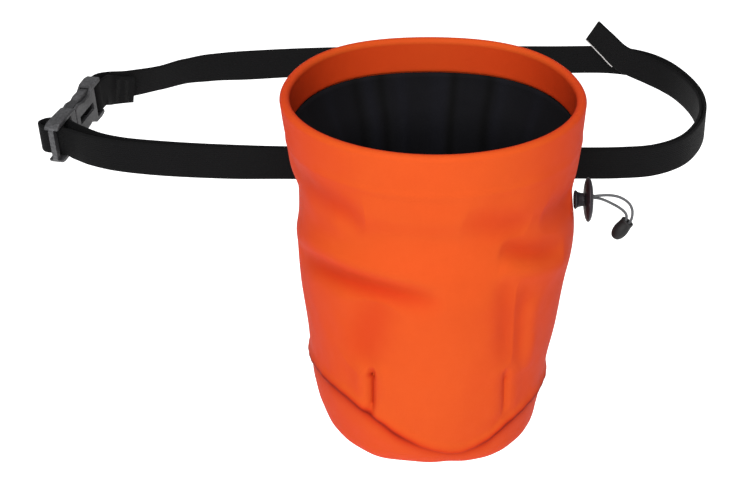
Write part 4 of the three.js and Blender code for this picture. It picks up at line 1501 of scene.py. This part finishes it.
@dataclass(frozen=True)
class Crumple:
    """Soft unevenness of cloth as a sum of waves round and down the bag.

    Each wave is a sine of a whole number of turns round the bag plus a run down it, with a random
    phase. Its height falls with its number, and the sum is scaled to the wanted height.

    Attributes:
        seed: Seed of the random phases.
        waves: How many waves are added.
        rise: Height of the result.
        around: The highest number of turns.
        upright: Longest run down the bag in radians per metre.
        radius: About the bag's radius, which turns a run per metre into one per turn.
    """

    seed: int
    waves: int
    rise: float
    around: int
    upright: float
    radius: float = 0.06

    def height(self, angle: Array, down: Array) -> Array:
        """Height at places on the bag.

        Args:
            angle: Angles round the bag.
            down: Heights below the rim.
        Returns:
            The heights.
        """
        draw = np.random.default_rng(self.seed)
        turns = draw.integers(2, self.around, self.waves)
        runs = draw.uniform(-self.upright, self.upright, self.waves)
        phases = draw.uniform(0, 2 * np.pi, self.waves)
        turn, depth = np.broadcast_arrays(np.radians(angle), down)
        total = np.zeros(turn.shape)
        sizes = np.hypot(turns, runs * self.radius)
        for count, run, phase, size in zip(turns, runs, phases, sizes):
            total += np.sin(count * turn + run * depth + phase) / size
        return self.rise * total / np.sqrt(np.sum(0.5 / sizes**2)) / 2


@dataclass(frozen=True)
class Rows:
    """How many rows of points each stretch of the bag has."""

    body: int = 112
    seam: int = 16
    collar: int = 18
    rim: int = 13
    facing: int = 14
    hem: int = 6
    base_edge: int = 16
    base: int = 60
    base_inside: int = 14
    lining_outside: int = 24
    lining: int = 110


@dataclass(frozen=True)
class Bag:
    """The bag: its shell, base panel and lining.

    Attributes:
        form: Its outer form.
        rim_wall: Thickness of the rim.
        facing_height: Depth of the facing inside.
        facing_wall: Thickness of shell and facing together.
        wall: Thickness of the shell cloth.
        lining_wall: Thickness of the lining.
        pleat_rise: Height of the lining's folds.
        clear: Gap between pieces.
        columns: How many columns go round the shell.
        lining_columns: How many go round the lining.
        rows: How many rows each stretch has.
        hem: Depth of the facing's turned hem.
        lip: Lip of the shell over the base seam.
        collar: Step below the collar's stiffener.
        collar_below: How far that step lies below the facing.
        pucker: Height of the puckers along the seam.
        pucker_reach: How far up they fade.
        puckers: How many go round the bag.
        dart_line: Depth of a dart's sewn line in millimetres.
        dart_pit: Depth of the pit at its upper end in millimetres.
        drawn: How far the base panel is drawn in at the seam.
        drawn_reach: How far down it is.
        corner: Fullness of the base panel's corner.
        corner_down: Height of that corner below the rim, as a share of the bag's height.
        fold_shade: How dark the deepest fold shows.
        shade_above: How far the seam's shadow reaches up the shell.
        shade_below: How far it reaches down the base panel.
        crumple: Unevenness of the cloth.
    """

    form: BagForm
    rim_wall: float = 4.2 * MM
    facing_height: float = 16 * MM
    facing_wall: float = 2.7 * MM
    wall: float = 1.4 * MM
    lining_wall: float = 1.1 * MM
    pleat_rise: float = 3.4 * MM
    clear: float = 0.3 * MM
    columns: int = 380
    lining_columns: int = 440
    rows: Rows = Rows()
    hem: float = 0.9 * MM
    lip: Ridge = Ridge(1.3 * MM, 3.4 * MM)
    collar: Ridge = Ridge(0.30 * MM, 1.8 * MM)
    collar_below: float = 2 * MM
    pucker: float = 0.08 * MM
    pucker_reach: float = 7 * MM
    puckers: float = 52.0
    dart_line: float = 0.9
    dart_pit: float = 1.3
    drawn: float = 1.7 * MM
    drawn_reach: float = 2.6 * MM
    corner: Ridge = Ridge(1.8 * MM, 7 * MM)
    corner_down: float = 0.93
    fold_shade: float = 0.58
    shade_above: float = 1.9 * MM
    shade_below: float = 4.8 * MM
    crumple: Crumple = Crumple(seed=11, waves=60, rise=0.22 * MM, around=26, upright=420.0)

    def angles(self) -> Array:
        """Angles of the columns: evenly spaced, and closer at the darts.

        Returns:
            The angles, from the lowest to the highest.
        """
        even = -180 + 360 * np.arange(self.columns) / self.columns
        turns = [sorted((dart.start[0], dart.end[0])) for dart in DARTS]
        close = [np.arange(low - 3.5, high + 3.5, 0.3) for low, high in turns]
        keep = np.ones(len(even), bool)
        for group in close:
            keep &= (even < group[0] - 0.5) | (even > group[-1] + 0.5)
        return np.sort(np.concatenate([even[keep], *close]))

    def fine_relief(self, angle: Array, down: Array) -> Array:
        """Small forms of the shell cloth, on top of the folds.

        The cloth puckers along the base seam and lifts into a lip there, is sewn into a narrow line at
        each dart with a pit at its upper end, and has a faint step below the collar's stiffener.

        Args:
            angle: Angles round the bag.
            down: Heights below the rim.
        Returns:
            The heights, below zero where the cloth is sewn in.
        """
        above_seam = self.above_seam(angle, down)
        waves = self.pucker * np.sin(np.radians(angle) * self.puckers)[None, :]
        pucker = waves * np.exp(-above_seam / self.pucker_reach)
        fade = smoothstep(down, 3 * MM, 12 * MM)
        total = self.lip.height(above_seam) + pucker * fade + self.crumple.height(angle[None, :], down) * fade
        for dart in DART_LINES:
            line, pit = self.sewn_in(angle, down, dart)
            total -= (self.dart_line * line + self.dart_pit * pit) * dart.rise * MM
        return total + self.collar.height(down - (self.facing_height + self.collar_below))

    def above_seam(self, angle: Array, down: Array) -> Array:
        """How far above the seam each place of the shell lies."""
        return np.maximum(0.0, self.form.seam(angle)[None, :] - down)

    @staticmethod
    def seam_shade(angle: Array) -> Array:
        """How dark the seam's shadow shows: faint at the front, where the seam lies lowest."""
        return 0.55 + 0.45 * smoothstep(np.abs(wrapped(angle - 8.0)), 6.0, 26.0)

    def sewn_in(self, angle: Array, down: Array, dart: Fold) -> tuple[Array, Array]:
        """A dart's narrow line, and the pit at its upper end that is three times as wide."""
        line = self.form.bell(angle[None, :], down, dart, dart.width)
        return line, self.form.bell(angle[None, :], down, Fold.spot(dart.start), 3 * dart.width)

    def shade_depths(self, angle: Array, down: Array) -> Array:
        """Strength of the painted shade on the shell, from 0 to 1: how deep in a hollow, a dart or the seam's
        shadow each place lies.

        Args:
            angle: Angles round the bag.
            down: Heights below the rim.
        Returns:
            The depths, from 0 to 1.
        """
        form = self.form
        depth = self.fold_shade * np.clip(-form.relief(angle[None, :], down) / form.fold_rise, 0.0, 1.0)
        shadow = hump(self.above_seam(angle, down), self.shade_above)
        depth = np.maximum(depth, self.seam_shade(angle) * shadow)
        for dart in DART_LINES:
            line, pit = self.sewn_in(angle, down, dart)
            depth = np.maximum(depth, dart.rise * np.maximum(0.75 * line, pit))
        return np.clip(depth, 0.0, 1.0)

    def shell(self) -> Piece:
        """Makes the outer body: from the seam up to the rim, over it, and down the facing inside.

        Each row of the grid lies at one share of the way between two levels, square off the form by
        the folds' height less how deep in the cloth it lies. The rim is a half circle.

        Returns:
            The piece.
        """
        form, angle, rows = self.form, self.angles(), self.rows
        seam, lip, near_seam = form.seam(angle), self.rim_wall / 2, 0.94
        stretches = np.linspace(0, near_seam, rows.body), np.linspace(near_seam, 1, rows.seam)
        shares = np.concatenate([stretch[1:] for stretch in stretches])

        def layer(down: Array, inset: Array | float, fine: bool) -> Array:
            """Rows at heights below the rim, a depth in the cloth, with or without its small forms."""
            rise = form.relief(angle[None, :], down) + (self.fine_relief(angle, down) if fine else 0.0)
            return form.skin(np.broadcast_to(angle, down.shape), form.row_at(down), rise - inset)

        def level(downs: Array) -> Array:
            """Rows that each lie at one height below the rim."""
            return np.repeat(downs[:, None], len(angle), 1)

        body = self.facing_height + (seam[None, :] - self.facing_height) * shares[:, None]
        half_turn = np.linspace(0, np.pi, rows.rim)[:, None]
        rim_out = form.reach(angle, np.zeros_like(angle))[0][None, :] - lip + lip * np.cos(half_turn)
        rim = form.place(np.broadcast_to(angle, rim_out.shape), rim_out, lip - lip * np.sin(half_turn))
        collar = level(np.linspace(self.facing_height, lip, rows.collar)[:-1])
        inside_down = level(np.linspace(lip, self.facing_height - self.hem, rows.facing)[1:])
        taper = (inside_down - lip) / (self.facing_height - lip)
        inside = layer(inside_down, self.rim_wall + (self.facing_wall - self.rim_wall) * taper, False)
        hem_turn = np.linspace(0, np.pi / 2, rows.hem)[1:, None] * np.ones_like(angle)
        hem_down = self.facing_height - self.hem + self.hem * np.sin(hem_turn)
        hem_inset = self.wall + (self.facing_wall - self.wall) * np.cos(hem_turn)
        lining_side = body[::6][1:]
        rings = [
            layer(body[::-1], 0.0, True),
            layer(collar, 0.0, True),
            rim,
            inside,
            layer(hem_down, hem_inset, False),
            layer(lining_side, self.wall, False),
            layer(seam[None, :], self.wall, False),
        ]
        points = np.concatenate(rings)
        # Painted shade on the shell: in fold hollows, in the darts' sewn lines and in the seam's shadow.
        shade_depth = np.zeros(points.shape[:2])
        shade_depth[: len(body)] = self.shade_depths(angle, body[::-1])
        facing = len(body) + len(collar) + len(half_turn)
        # Painted shade on the facing inside the rim, darker towards the left and right sides.
        shade_depth[facing : facing + len(inside_down)] = 0.24 + 0.20 * np.abs(np.sin(np.radians(angle)))
        pattern = self.unrolled(points, angle)
        return Surface(points, pattern, through=Around.CLOSED, shade_depth=shade_depth).made("shell_cloth")

    def unrolled(self, points: Array, angle: Array, closed: bool = True) -> Array:
        """Pattern of a grid round the bag: arc length round it, and length along the columns.

        Args:
            points: The grid's points, row by row.
            angle: The angle of each column.
            closed: Whether the last row meets the first.
        Returns:
            Two places in the pattern for each point, in metres.
        """
        turn = np.radians(np.concatenate([angle, angle[:1] + 360])) * self.form.half * 0.92
        rows = np.concatenate([points, points[:1]]) if closed else points
        run = np.linalg.norm(np.diff(rows, axis=0), axis=2).mean(1)
        down = np.concatenate([[0.0], np.cumsum(run)])
        return np.stack(np.broadcast_arrays(turn[None, :], down[:, None]), -1)

    def polar(self, points: Array, pole: Array, angle: Array) -> Array:
        """Pattern of a cup: the length from its pole, laid out flat at each angle.

        Args:
            points: The grid's points, row by row.
            pole: The middle of the cup.
            angle: The angle of each column.
        Returns:
            Two places in the pattern for each point, in metres.
        """
        rows = np.concatenate([pole[None, None] + 0 * points[:1], points])
        run = np.cumsum(np.linalg.norm(np.diff(rows, axis=0), axis=2), axis=0)
        turn = np.radians(angle)
        flat = np.stack([run * np.sin(turn), -run * np.cos(turn)], -1)
        return np.concatenate([flat, flat[:, :1]], 1)

    def base(self) -> Piece:
        """Makes the base panel: a shallow cup whose edge is drawn in under the body's lip.

        Returns:
            The piece.
        """
        form, angle, rows = self.form, self.angles(), self.rows
        last = len(LEVELS) - 1
        edge = form.row_at(form.seam(angle) + self.clear)
        near_edge, near_pole = 0.12, 0.97
        beyond = np.linspace(near_edge, near_pole, rows.base)[1:]
        shares = np.concatenate([np.linspace(0, near_edge, rows.base_edge), beyond])

        def layer(share: Array, inset: float, fine: bool) -> Array:
            """Rows at shares of the way to the pole, a depth in the cloth, with or without small forms.

            Args:
                share: The shares.
                inset: The depth.
                fine: Whether small forms are added.
            Returns:
                The points, row by row.
            """
            row = edge[None, :] + (last - edge)[None, :] * share[:, None]
            down = form.down_at(row)
            shift = form.relief(angle[None, :], down) - inset
            if fine:
                below = np.maximum(0.0, down - form.seam(angle)[None, :])
                aside = smoothstep(np.abs(wrapped(angle)), 8.0, 38.0)[None, :]
                fill = self.corner.height(down - self.corner_down * form.height) * aside
                soft = smoothstep(1 - share, 0.0, 0.3)[:, None]
                drawn = -self.drawn * np.exp(-below / self.drawn_reach)
                shift = shift + drawn + fill + soft * self.crumple.height(angle[None, :], down)
            return form.skin(np.broadcast_to(angle, row.shape), row, shift)

        outer = layer(shares, 0.0, True)
        inner = layer(np.linspace(0, near_pole, rows.base_inside), self.wall, False)
        pole = form.on_axis(form.height)
        tips = (pole, pole + np.array([0.0, 0.0, self.wall]))
        points = np.concatenate([outer[::-1], inner])
        below = np.maximum(0.0, form.top - outer[::-1, :, 2] - form.seam(angle)[None, :])
        # Painted shadow on the base panel just under the seam.
        shade_depth = np.zeros(points.shape[:2])
        shade_depth[: len(outer)] = self.seam_shade(angle) * hump(below, self.shade_below)
        pattern = self.polar(points, pole, angle)
        return Surface(points, pattern, tips=tips, shade_depth=shade_depth).made("base_panel_cloth")

    def lining(self) -> Piece:
        """Makes the lining: a loose pouch with upright folds, hung below the facing.

        It stands off the shell by the folds' height, fading towards the base, and its pleats are bells
        round their angles that fade out at the top and towards the base.

        Returns:
            The piece.
        """
        form = self.form
        angle = -180 + 360 * np.arange(self.lining_columns) / self.lining_columns
        last = len(LEVELS) - 1
        start = float(form.row_at(np.array(self.facing_height + self.clear)))
        pleats, narrow = (
            sum(p.rise * hump(wrapped(angle - p.angle), p.width) for p in table)
            for table in (PLEATS, LINING_CREASES)
        )

        slackness, tightening = 1.1, 0.7

        def layer(share: Array, inset: float) -> Array:
            """Rows at shares of the way to the pole, a depth below the shell's face.

            Args:
                share: The shares.
                inset: The depth.
            Returns:
                The points, row by row.
            """
            row = np.repeat((start + (last - start) * share)[:, None], len(angle), 1)
            down = form.down_at(row)
            slack = form.fold_rise * smoothstep(share, 0.0, 0.1) * (1 - tightening * share)
            fade = smoothstep(share, 0.0, 0.2) * (1 - smoothstep(share, 0.45, 0.8))
            upright = self.pleat_rise * fade[:, None] * (pleats + 0.7 * narrow)[None, :]
            loose = slackness * slack[:, None] + upright
            soft = smoothstep(share, 0.05, 0.2) * smoothstep(1 - share, 0.02, 0.2)
            uneven = np.minimum(0.0, 1.6 * self.crumple.height(angle[None, :] + 40, down)) * soft[:, None]
            folds = np.where(share[:, None] == 0, form.relief(angle[None, :], down), 0.0)
            return form.skin(np.broadcast_to(angle, row.shape), row, folds - inset - loose + uneven)

        outside = self.wall + self.clear
        inside = outside + self.lining_wall
        near_pole = 0.95
        outer = layer(np.linspace(0, near_pole, self.rows.lining_outside), outside)
        inner = layer(np.linspace(0, near_pole, self.rows.lining), inside)
        depth = slackness * form.fold_rise * (1 - tightening)
        poles = (form.on_axis(form.height - depth - outside), form.on_axis(form.height - depth - inside))
        points = np.concatenate([outer[::-1], inner])
        pattern = self.unrolled(points, angle, closed=False)
        # Painted shade on the lining: some all over, darker in the narrow folds that run into the cloth,
        # lighter on the others.
        shade_depth = np.broadcast_to(np.clip(0.40 - 1.6 * narrow, 0.0, 1.0), points.shape[:2])
        return Surface(points, pattern, tips=poles, shade_depth=shade_depth).made("lining_cloth")

    def built(self, finishes: dict[str, Material]) -> None:
        """Builds and dresses the pieces."""
        dressed(self.shell(), finishes["shell_cloth"], Slot.SHELL, "shell_body")
        dressed(self.base(), finishes["shell_cloth"], Slot.SHELL, "base_panel")
        dressed(self.lining(), finishes["lining_cloth"], Slot.LINING, "lining")


# Belt


@dataclass(frozen=True)
class BuckleAxes:
    """The buckle's own axes: along it from its adjusting half, out of the loop, and across it.

    Attributes:
        near: Middle of its near end.
        aim: The way that it runs.
        lean: The way from its upper to its lower edge.
        length: Its length.
        bar: Width of its bars.
        bar_thick: Thickness of its bars.
    """

    near: tuple[float, float, float]
    aim: tuple[float, float, float] = (0.280, 0.953, 0.115)
    lean: tuple[float, float, float] = (0.055, 0.105, -0.99)
    length: float = 50 * MM
    bar: float = 3.2 * MM
    bar_thick: float = 2.6 * MM

    @cached_property
    def axes(self) -> tuple[Array, Array, Array]:
        """Across, along and out, each of length one."""
        along = unit(np.array(self.aim))
        out = unit(np.cross(along, np.array(self.lean)))
        return unit(np.cross(along, out)), along, out

    def at(self, along: Array, out: Array) -> Array:
        """Points in the buckle's middle plane."""
        _, aim, off = self.axes
        return np.array(self.near) + np.multiply.outer(along, aim) + np.multiply.outer(out, off)


@dataclass(frozen=True)
class Station:
    """A place on the belt: shares of half the loop's width and depth and of the webbing's width.

    Attributes:
        x: Share of half the loop's width.
        y: Share of half its depth.
        z: Share of the webbing's width.
        lean: Lean in degrees. Above zero, the lower edge stands nearer the bag.
        slack: How far a second layer stands off, as a share of the webbing's width.
    """

    x: float
    y: float
    z: float = 0.0
    lean: float = 0.0
    slack: float | None = None


SEWN_END = (Station(-0.792, 0.500, -0.16, -8, 0.02), Station(-0.850, 0.452, -0.10, -2, 0.04))

LOOP = (
    Station(-0.872, 0.440, 0.02, 0), Station(-0.804, 0.500, 0.00, -8), Station(-0.711, 0.618, 0.00, -16),
    Station(-0.638, 0.752, 0.00, -12), Station(-0.550, 0.836), Station(-0.414, 0.892, 0.00, 15),
    Station(-0.220, 0.955, 0.00, 10), Station(0.150, 0.998), Station(0.560, 1.004),
    Station(0.770, 0.995), Station(0.861, 0.893), Station(0.922, 0.722),
    Station(0.968, 0.455), Station(0.997, 0.080), Station(0.988, -0.255),
    Station(0.950, -0.550), Station(0.888, -0.795), Station(0.800, -0.948),
    Station(0.700, -0.995), Station(0.480, -1.000), Station(-0.260, -1.000, 0.00, 4),
    Station(-0.460, -0.985, 0.00, 10), Station(-0.650, -0.930, 0.00, 12), Station(-0.780, -0.830, -0.05, 10),
    Station(-0.866, -0.690, -0.14, 6), Station(-0.918, -0.560, -0.22, 2),
)

# The loose fold through the buckle's two slots: places along it as shares of its length, and out of it
# as shares of the webbing's width.
LOOSE_FOLD = (
    (0.104, -0.20), (0.114, 0.06), (0.106, 0.30), (0.116, 0.52), (0.168, 0.66),
    (0.232, 0.54), (0.264, 0.28), (0.266, 0.00), (0.254, -0.24), (0.214, -0.48),
)

TAIL_LEFT = (
    Station(-0.866, -0.690, -0.14, 6, 0.22), Station(-0.780, -0.830, -0.05, 9, 0.14),
    Station(-0.650, -0.930, 0.00, 11, 0.12), Station(-0.460, -0.985, 0.00, 9, 0.10),
    Station(-0.260, -1.000, 0.00, 4, 0.05),
)
TAIL_RIGHT = (
    Station(0.480, -1.000, slack=0.01), Station(0.700, -0.995, slack=0.02),
    Station(0.800, -0.948, slack=0.02), Station(0.888, -0.795, slack=0.02),
    Station(0.950, -0.550, slack=0.03), Station(0.988, -0.255, slack=0.05),
    Station(0.997, 0.080, slack=0.08),
)
TAIL_END = (
    Station(0.948, 0.430), Station(0.908, 0.600, 0.05, 0), Station(0.860, 0.700, 0.16, -2),
    Station(0.782, 0.790, 0.44, -6), Station(0.737, 0.862, 0.80, -9), Station(0.691, 0.945, 1.18, -12),
)


@dataclass(frozen=True)
class Belt:
    """The waist belt: one strip of webbing through the buckle, its bare label and its keeper.

    Attributes:
        form: The bag's form, which the keeper lies against.
        width: Width of the webbing.
        thick: Its thickness.
        loop_width: Width of the loop.
        loop_depth: Depth of the loop.
        clear: Gap between layers.
        label_length: Length of the label on the free end.
        label_width: Its width.
        label_thick: Its thickness.
        piping: Half the width and half the depth of the label's pale edge.
        keeper_width: Width of the keeper.
        keeper_thick: Its thickness.
        keeper_pad: Height of its pads.
        keeper_bend: Radius of its bends.
        keeper_sewn: How far from its ends it is sewn on.
        end_sewn: How far along the belt its sewn end is sewn.
        keeper_tack: Length of the keeper's tacks, as a share of its width.
        end_tack: Length of the sewn end's tacks, as a share of the webbing's width.
        tack_pitch: Distance between the stitches of a tack.
        tack_shift: How far every second stitch lies below the middle, and the others above it.
        spacing: About how far apart the rows of faces along the belt lie.
        keeper_spacing: The same along the keeper.
        piping_sides: Faces round the label's pale edge.
        wrap_turn: Where the wrap round the buckle's far bar starts and ends, in degrees.
        wrap_steps: Stations along the wrap.
        wrap_ends: Stations beside the wrap, in its radii: how far they lie past the bar's middle, and
            how far out before and after the wrap.
    """

    form: BagForm
    width: float = 15 * MM
    thick: float = 1.3 * MM
    loop_width: float = 313 * MM
    loop_depth: float = 123 * MM
    clear: float = 0.3 * MM
    label_length: float = 20 * MM
    label_width: float = 13.4 * MM
    label_thick: float = 0.6 * MM
    piping: tuple[float, float] = (0.42 * MM, 0.80 * MM)
    keeper_width: float = 26 * MM
    keeper_thick: float = 1.3 * MM
    keeper_pad: float = 9 * MM
    keeper_bend: float = 0.8 * MM
    keeper_sewn: float = 3.2 * MM
    end_sewn: tuple[float, float] = (4.0 * MM, 9.0 * MM)
    keeper_tack: float = 0.86
    end_tack: float = 0.8
    tack_pitch: float = 0.42 * MM
    tack_shift: float = 0.3 * MM
    spacing: float = 1.2 * MM
    keeper_spacing: float = 0.5 * MM
    piping_sides: int = 10
    wrap_turn: tuple[float, float] = (290.0, 70.0)
    wrap_steps: int = 8
    wrap_ends: tuple[float, float, float] = (1.9, -1.15, 0.9)

    @cached_property
    def buckle(self) -> BuckleAxes:
        """The buckle's axes at the left end of the loop."""
        near = (-0.985 * self.loop_width / 2, -0.545 * self.loop_depth / 2, -0.28 * self.width)
        return BuckleAxes(near)

    def placed_at(self, stations: Sequence[Station]) -> tuple[Array, Array]:
        """Places and upward directions of stations.

        Args:
            stations: The stations.
        Returns:
            The places, and the way up at each.
        """
        scale = np.array([self.loop_width / 2, self.loop_depth / 2, self.width])
        at = np.array([(s.x, s.y, s.z) for s in stations]) * scale
        lean = np.radians([s.lean for s in stations])
        return at, np.stack([0 * lean, np.sin(lean), np.cos(lean)], -1)

    def inside(self, stations: Sequence[Station]) -> tuple[Array, Array]:
        """Stations of a second layer, moved towards the wearer by its thickness, a gap and its slack.

        Args:
            stations: The stations.
        Returns:
            The places, and the way up at each.
        """
        at, up = self.placed_at(stations)
        along = np.concatenate([at[1:], at[-1:]]) - np.concatenate([at[:1], at[:-1]])
        along[:, 2] = 0
        along = unit(along)
        inward = np.stack([along[:, 1], -along[:, 0], 0 * along[:, 0]], -1)
        inward *= np.where(np.sum(inward * at, 1) > 0, -1, 1)[:, None]
        apart = self.thick + self.clear + np.array([s.slack for s in stations]) * self.width
        return at + inward * apart[:, None], up

    def on_buckle(self, pairs: Sequence[tuple[float, float]]) -> tuple[Array, Array]:
        """Stations in the buckle's middle plane, from places along it and out of it."""
        values = np.array(pairs)
        at = self.buckle.at(values[:, 0], values[:, 1])
        return at, np.repeat(self.buckle.axes[0][None], len(at), 0)

    def round_bar(self, bar: float) -> tuple[Array, Array]:
        """Stations round a bar: the wrap's radius times cosine and sine of the turn."""
        turn = np.radians(np.linspace(*self.wrap_turn, self.wrap_steps + 1))
        return self.on_buckle(np.stack([bar + self.wrap * np.cos(turn), self.wrap * np.sin(turn)], -1))

    @cached_property
    def wrap(self) -> float:
        """Radius of the webbing's middle round a bar."""
        return math.hypot(self.buckle.bar, self.buckle.bar_thick) / 2 + self.clear + self.thick / 2

    @cached_property
    def ribbon(self) -> Ribbon:
        """The whole belt, from its sewn end round the loop, through the buckle and back to its tail.

        Returns:
            The ribbon along the belt's middle.
        """
        far = self.buckle.length - self.buckle.bar / 2
        past, before, after = (share * self.wrap for share in self.wrap_ends)
        fold = np.array(LOOSE_FOLD) * (self.buckle.length, self.width)
        stretches = [
            self.inside(SEWN_END),
            self.on_buckle([(far + past, before)]),
            self.round_bar(far),
            self.on_buckle([(far + past, after)]),
            self.placed_at(LOOP),
            self.on_buckle(fold),
            self.inside(TAIL_LEFT),
            self.inside(TAIL_RIGHT),
            self.placed_at(TAIL_END),
        ]
        at, up = (np.concatenate([stretch[i] for stretch in stretches]) for i in (0, 1))
        return Ribbon.through(at, up, self.spacing)

    def webbing(self) -> Piece:
        """Carries the webbing's section along the whole belt."""
        return self.ribbon.strip("belt_strap", selvedge(self.width, self.thick))

    def label(self) -> Piece:
        """Makes the bare label on the free end."""
        shift = (self.thick + self.label_thick) / 2 + self.clear
        section = selvedge(self.label_width, self.label_thick, flat=16, bend=4)
        return self.ribbon.last(self.label_length).strip("tail_label_cloth", section, shift)

    def keeper(self) -> Piece:
        """Makes the keeper: a short strip sewn on above the belt, led behind it and sewn on below.

        Returns:
            The piece.
        """
        low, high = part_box("belt_keeper")
        middle = self.width / 2 + self.clear + self.keeper_thick / 2
        pads = [self.pad_seat(sign) + self.keeper_thick / 2 for sign in (1, -1)]
        bridge = high.y - self.keeper_thick / 2
        bend = self.keeper_bend
        line = [
            (pads[0], high.z), (pads[0], middle + bend), (pads[0] + bend, middle),
            (bridge - bend, middle), (bridge, middle - bend), (bridge, bend - middle),
            (bridge - bend, -middle), (pads[1] + bend, -middle), (pads[1], -middle - bend), (pads[1], low.z),
        ]
        at = np.array([((low.x + high.x) / 2, y, z) for y, z in line])
        across = np.repeat(np.array([[1.0, 0.0, 0.0]]), len(at), 0)
        ribbon = Ribbon.through(at, across, self.keeper_spacing)
        return ribbon.strip("belt_keeper_strap", selvedge(high.x - low.x, self.keeper_thick))

    def pad_seat(self, sign: int) -> float:
        """Where the keeper's upper or lower pad meets the bag's back.

        Args:
            sign: 1 for the upper pad, -1 for the lower one.
        Returns:
            The pad's face along Y.
        """
        form = self.form
        middle = form.top - sign * (self.width / 2 + self.clear + self.keeper_thick + self.keeper_pad / 2)
        angle, step = np.meshgrid([177.0, 180.0, 183.0], [-0.5, 0.0, 0.5])
        down = middle + step * self.keeper_pad
        out = form.reach(angle, form.row_at(down))[0] + form.relief(angle, down)
        return form.axis[1] + float(np.max(form.roundness * out)) + self.clear

    def tack(self, name: str, at: Array, ways: tuple[Array, Array, Array], width: float) -> Piece:
        """Sews a bar tack: close stitches side by side, with every second one a little lower.

        Args:
            name: The name of the piece.
            at: The middle of the tack, on the surface.
            ways: The way that its stitches run, the way that the tack runs and the way off the surface.
            width: Length of the tack.
        Returns:
            The piece.
        """
        along, across, out = ways
        count = int(width / self.tack_pitch)
        place = (np.arange(count) + 0.5) / count - 0.5
        shift = self.tack_shift * np.where(np.arange(count) % 2, 1, -1)
        points = at + np.multiply.outer(place * width, across) + np.multiply.outer(shift, along)
        return Stitch().sewn(name, points, *(np.repeat(way[None], count, 0) for way in (along, out)))

    def stitches(self) -> list[Piece]:
        """Sews the keeper's pads and the belt's sewn end.

        Returns:
            The tacks.
        """
        made = []
        x, y, z = np.eye(3)
        low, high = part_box("belt_keeper")
        for number, sign in enumerate((1, -1), start=1):
            height = (high.z if sign > 0 else low.z) - sign * self.keeper_sewn
            at = np.array([(low.x + high.x) / 2, self.pad_seat(sign) + self.keeper_thick, height])
            wide = self.keeper_tack * self.keeper_width
            made.append(self.tack(f"keeper_tack_{number}", at, (z, x, y), wide))
        ribbon = self.ribbon
        for number, place in enumerate(self.end_sewn, start=1):
            here = ribbon.near(place)
            face = ribbon.side[here] * np.sign(-ribbon.side[here] @ ribbon.at[here])
            at = ribbon.at[here] + face * self.thick / 2
            ways = (ribbon.along[here], ribbon.up[here], face)
            made.append(self.tack(f"sewn_end_tack_{number}", at, ways, self.end_tack * self.width))
        return made

    def label_edge(self) -> Piece:
        """Sews the label's pale lower edge: a thin cord along the edge of the free end.

        Returns:
            The piece.
        """
        end = self.ribbon.last(self.label_length)
        turn = 2 * np.pi * np.arange(self.piping_sides) / self.piping_sides
        wide, deep = self.piping
        section = np.stack([np.cos(turn) * wide - self.width / 2, np.sin(turn) * deep], -1)
        return end.strip("label_pale_edge", section)

    def built(self, finishes: dict[str, Material]) -> None:
        """Builds and dresses the pieces.

        Args:
            finishes: The materials by their finish's name.
        """
        dressed(self.webbing(), finishes["webbing_nylon"], Slot.WEBBING, "belt_webbing")
        dressed(self.label(), finishes["label_satin"], Slot.LABEL, "tail_label")
        dressed(self.label_edge(), finishes["pale_thread"], Slot.LABEL)
        dressed(self.keeper(), finishes["webbing_nylon"], Slot.WEBBING, "belt_keeper")
        for tack in self.stitches():
            dressed(tack, finishes["black_thread"], Slot.WEBBING)


# Buckle


@dataclass(frozen=True)
class Buckle:
    """The two moulded halves of the buckle.

    Attributes:
        nodes: The solids of its halves.
        edge: Radius of its rounded edges.
        edge_faces: Faces round an edge.
        sharp: The angle in degrees from which an edge is rounded.
    """

    nodes: dict[str, Piece]
    edge: float = 0.45 * MM
    edge_faces: int = 3
    sharp: float = 35.0

    def half(self, node: str, name: str) -> Piece:
        """Copies a solid, joins its faces and rounds its edges.

        Args:
            node: The solid's name.
            name: The name of the piece.
        Returns:
            The piece.
        """
        work = bmesh.new()
        work.from_mesh(self.nodes[node].data)
        bmesh.ops.remove_doubles(work, verts=work.verts, dist=1e-6)
        bmesh.ops.dissolve_limit(work, angle_limit=math.radians(1.0), verts=work.verts, edges=work.edges)
        mesh = bpy.data.meshes.new(name)
        work.to_mesh(mesh)
        work.free()
        piece = placed(name, mesh)
        bevel = piece.modifiers.new("Rounded edges", "BEVEL")
        bevel.width = self.edge
        bevel.segments = self.edge_faces
        bevel.limit_method = "ANGLE"
        bevel.angle_limit = math.radians(self.sharp)
        bevel.harden_normals = True
        return piece

    def built(self, finishes: dict[str, Material]) -> None:
        """Builds and dresses the two halves."""
        for node, name in (("buckle_socket", "buckle_socket_shell"), ("buckle_fork", "buckle_fork_frame")):
            dressed(self.half(node, name), finishes["buckle_nylon"], Slot.BUCKLE, node)


def main() -> None:
    """Builds the chalk bag and its studio."""
    logging.basicConfig(level=logging.INFO, format="%(message)s")
    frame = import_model()
    studio = Studio()
    studio.camera()
    finishes = Wardrobe().materials
    Drawcord().built(finishes)
    form = BagForm.of_frame()
    Bag(form).built(finishes)
    Belt(form).built(finishes)
    Buckle(frame["nodes"]).built(finishes)
    studio.built()


if __name__ == "__main__":
    main()
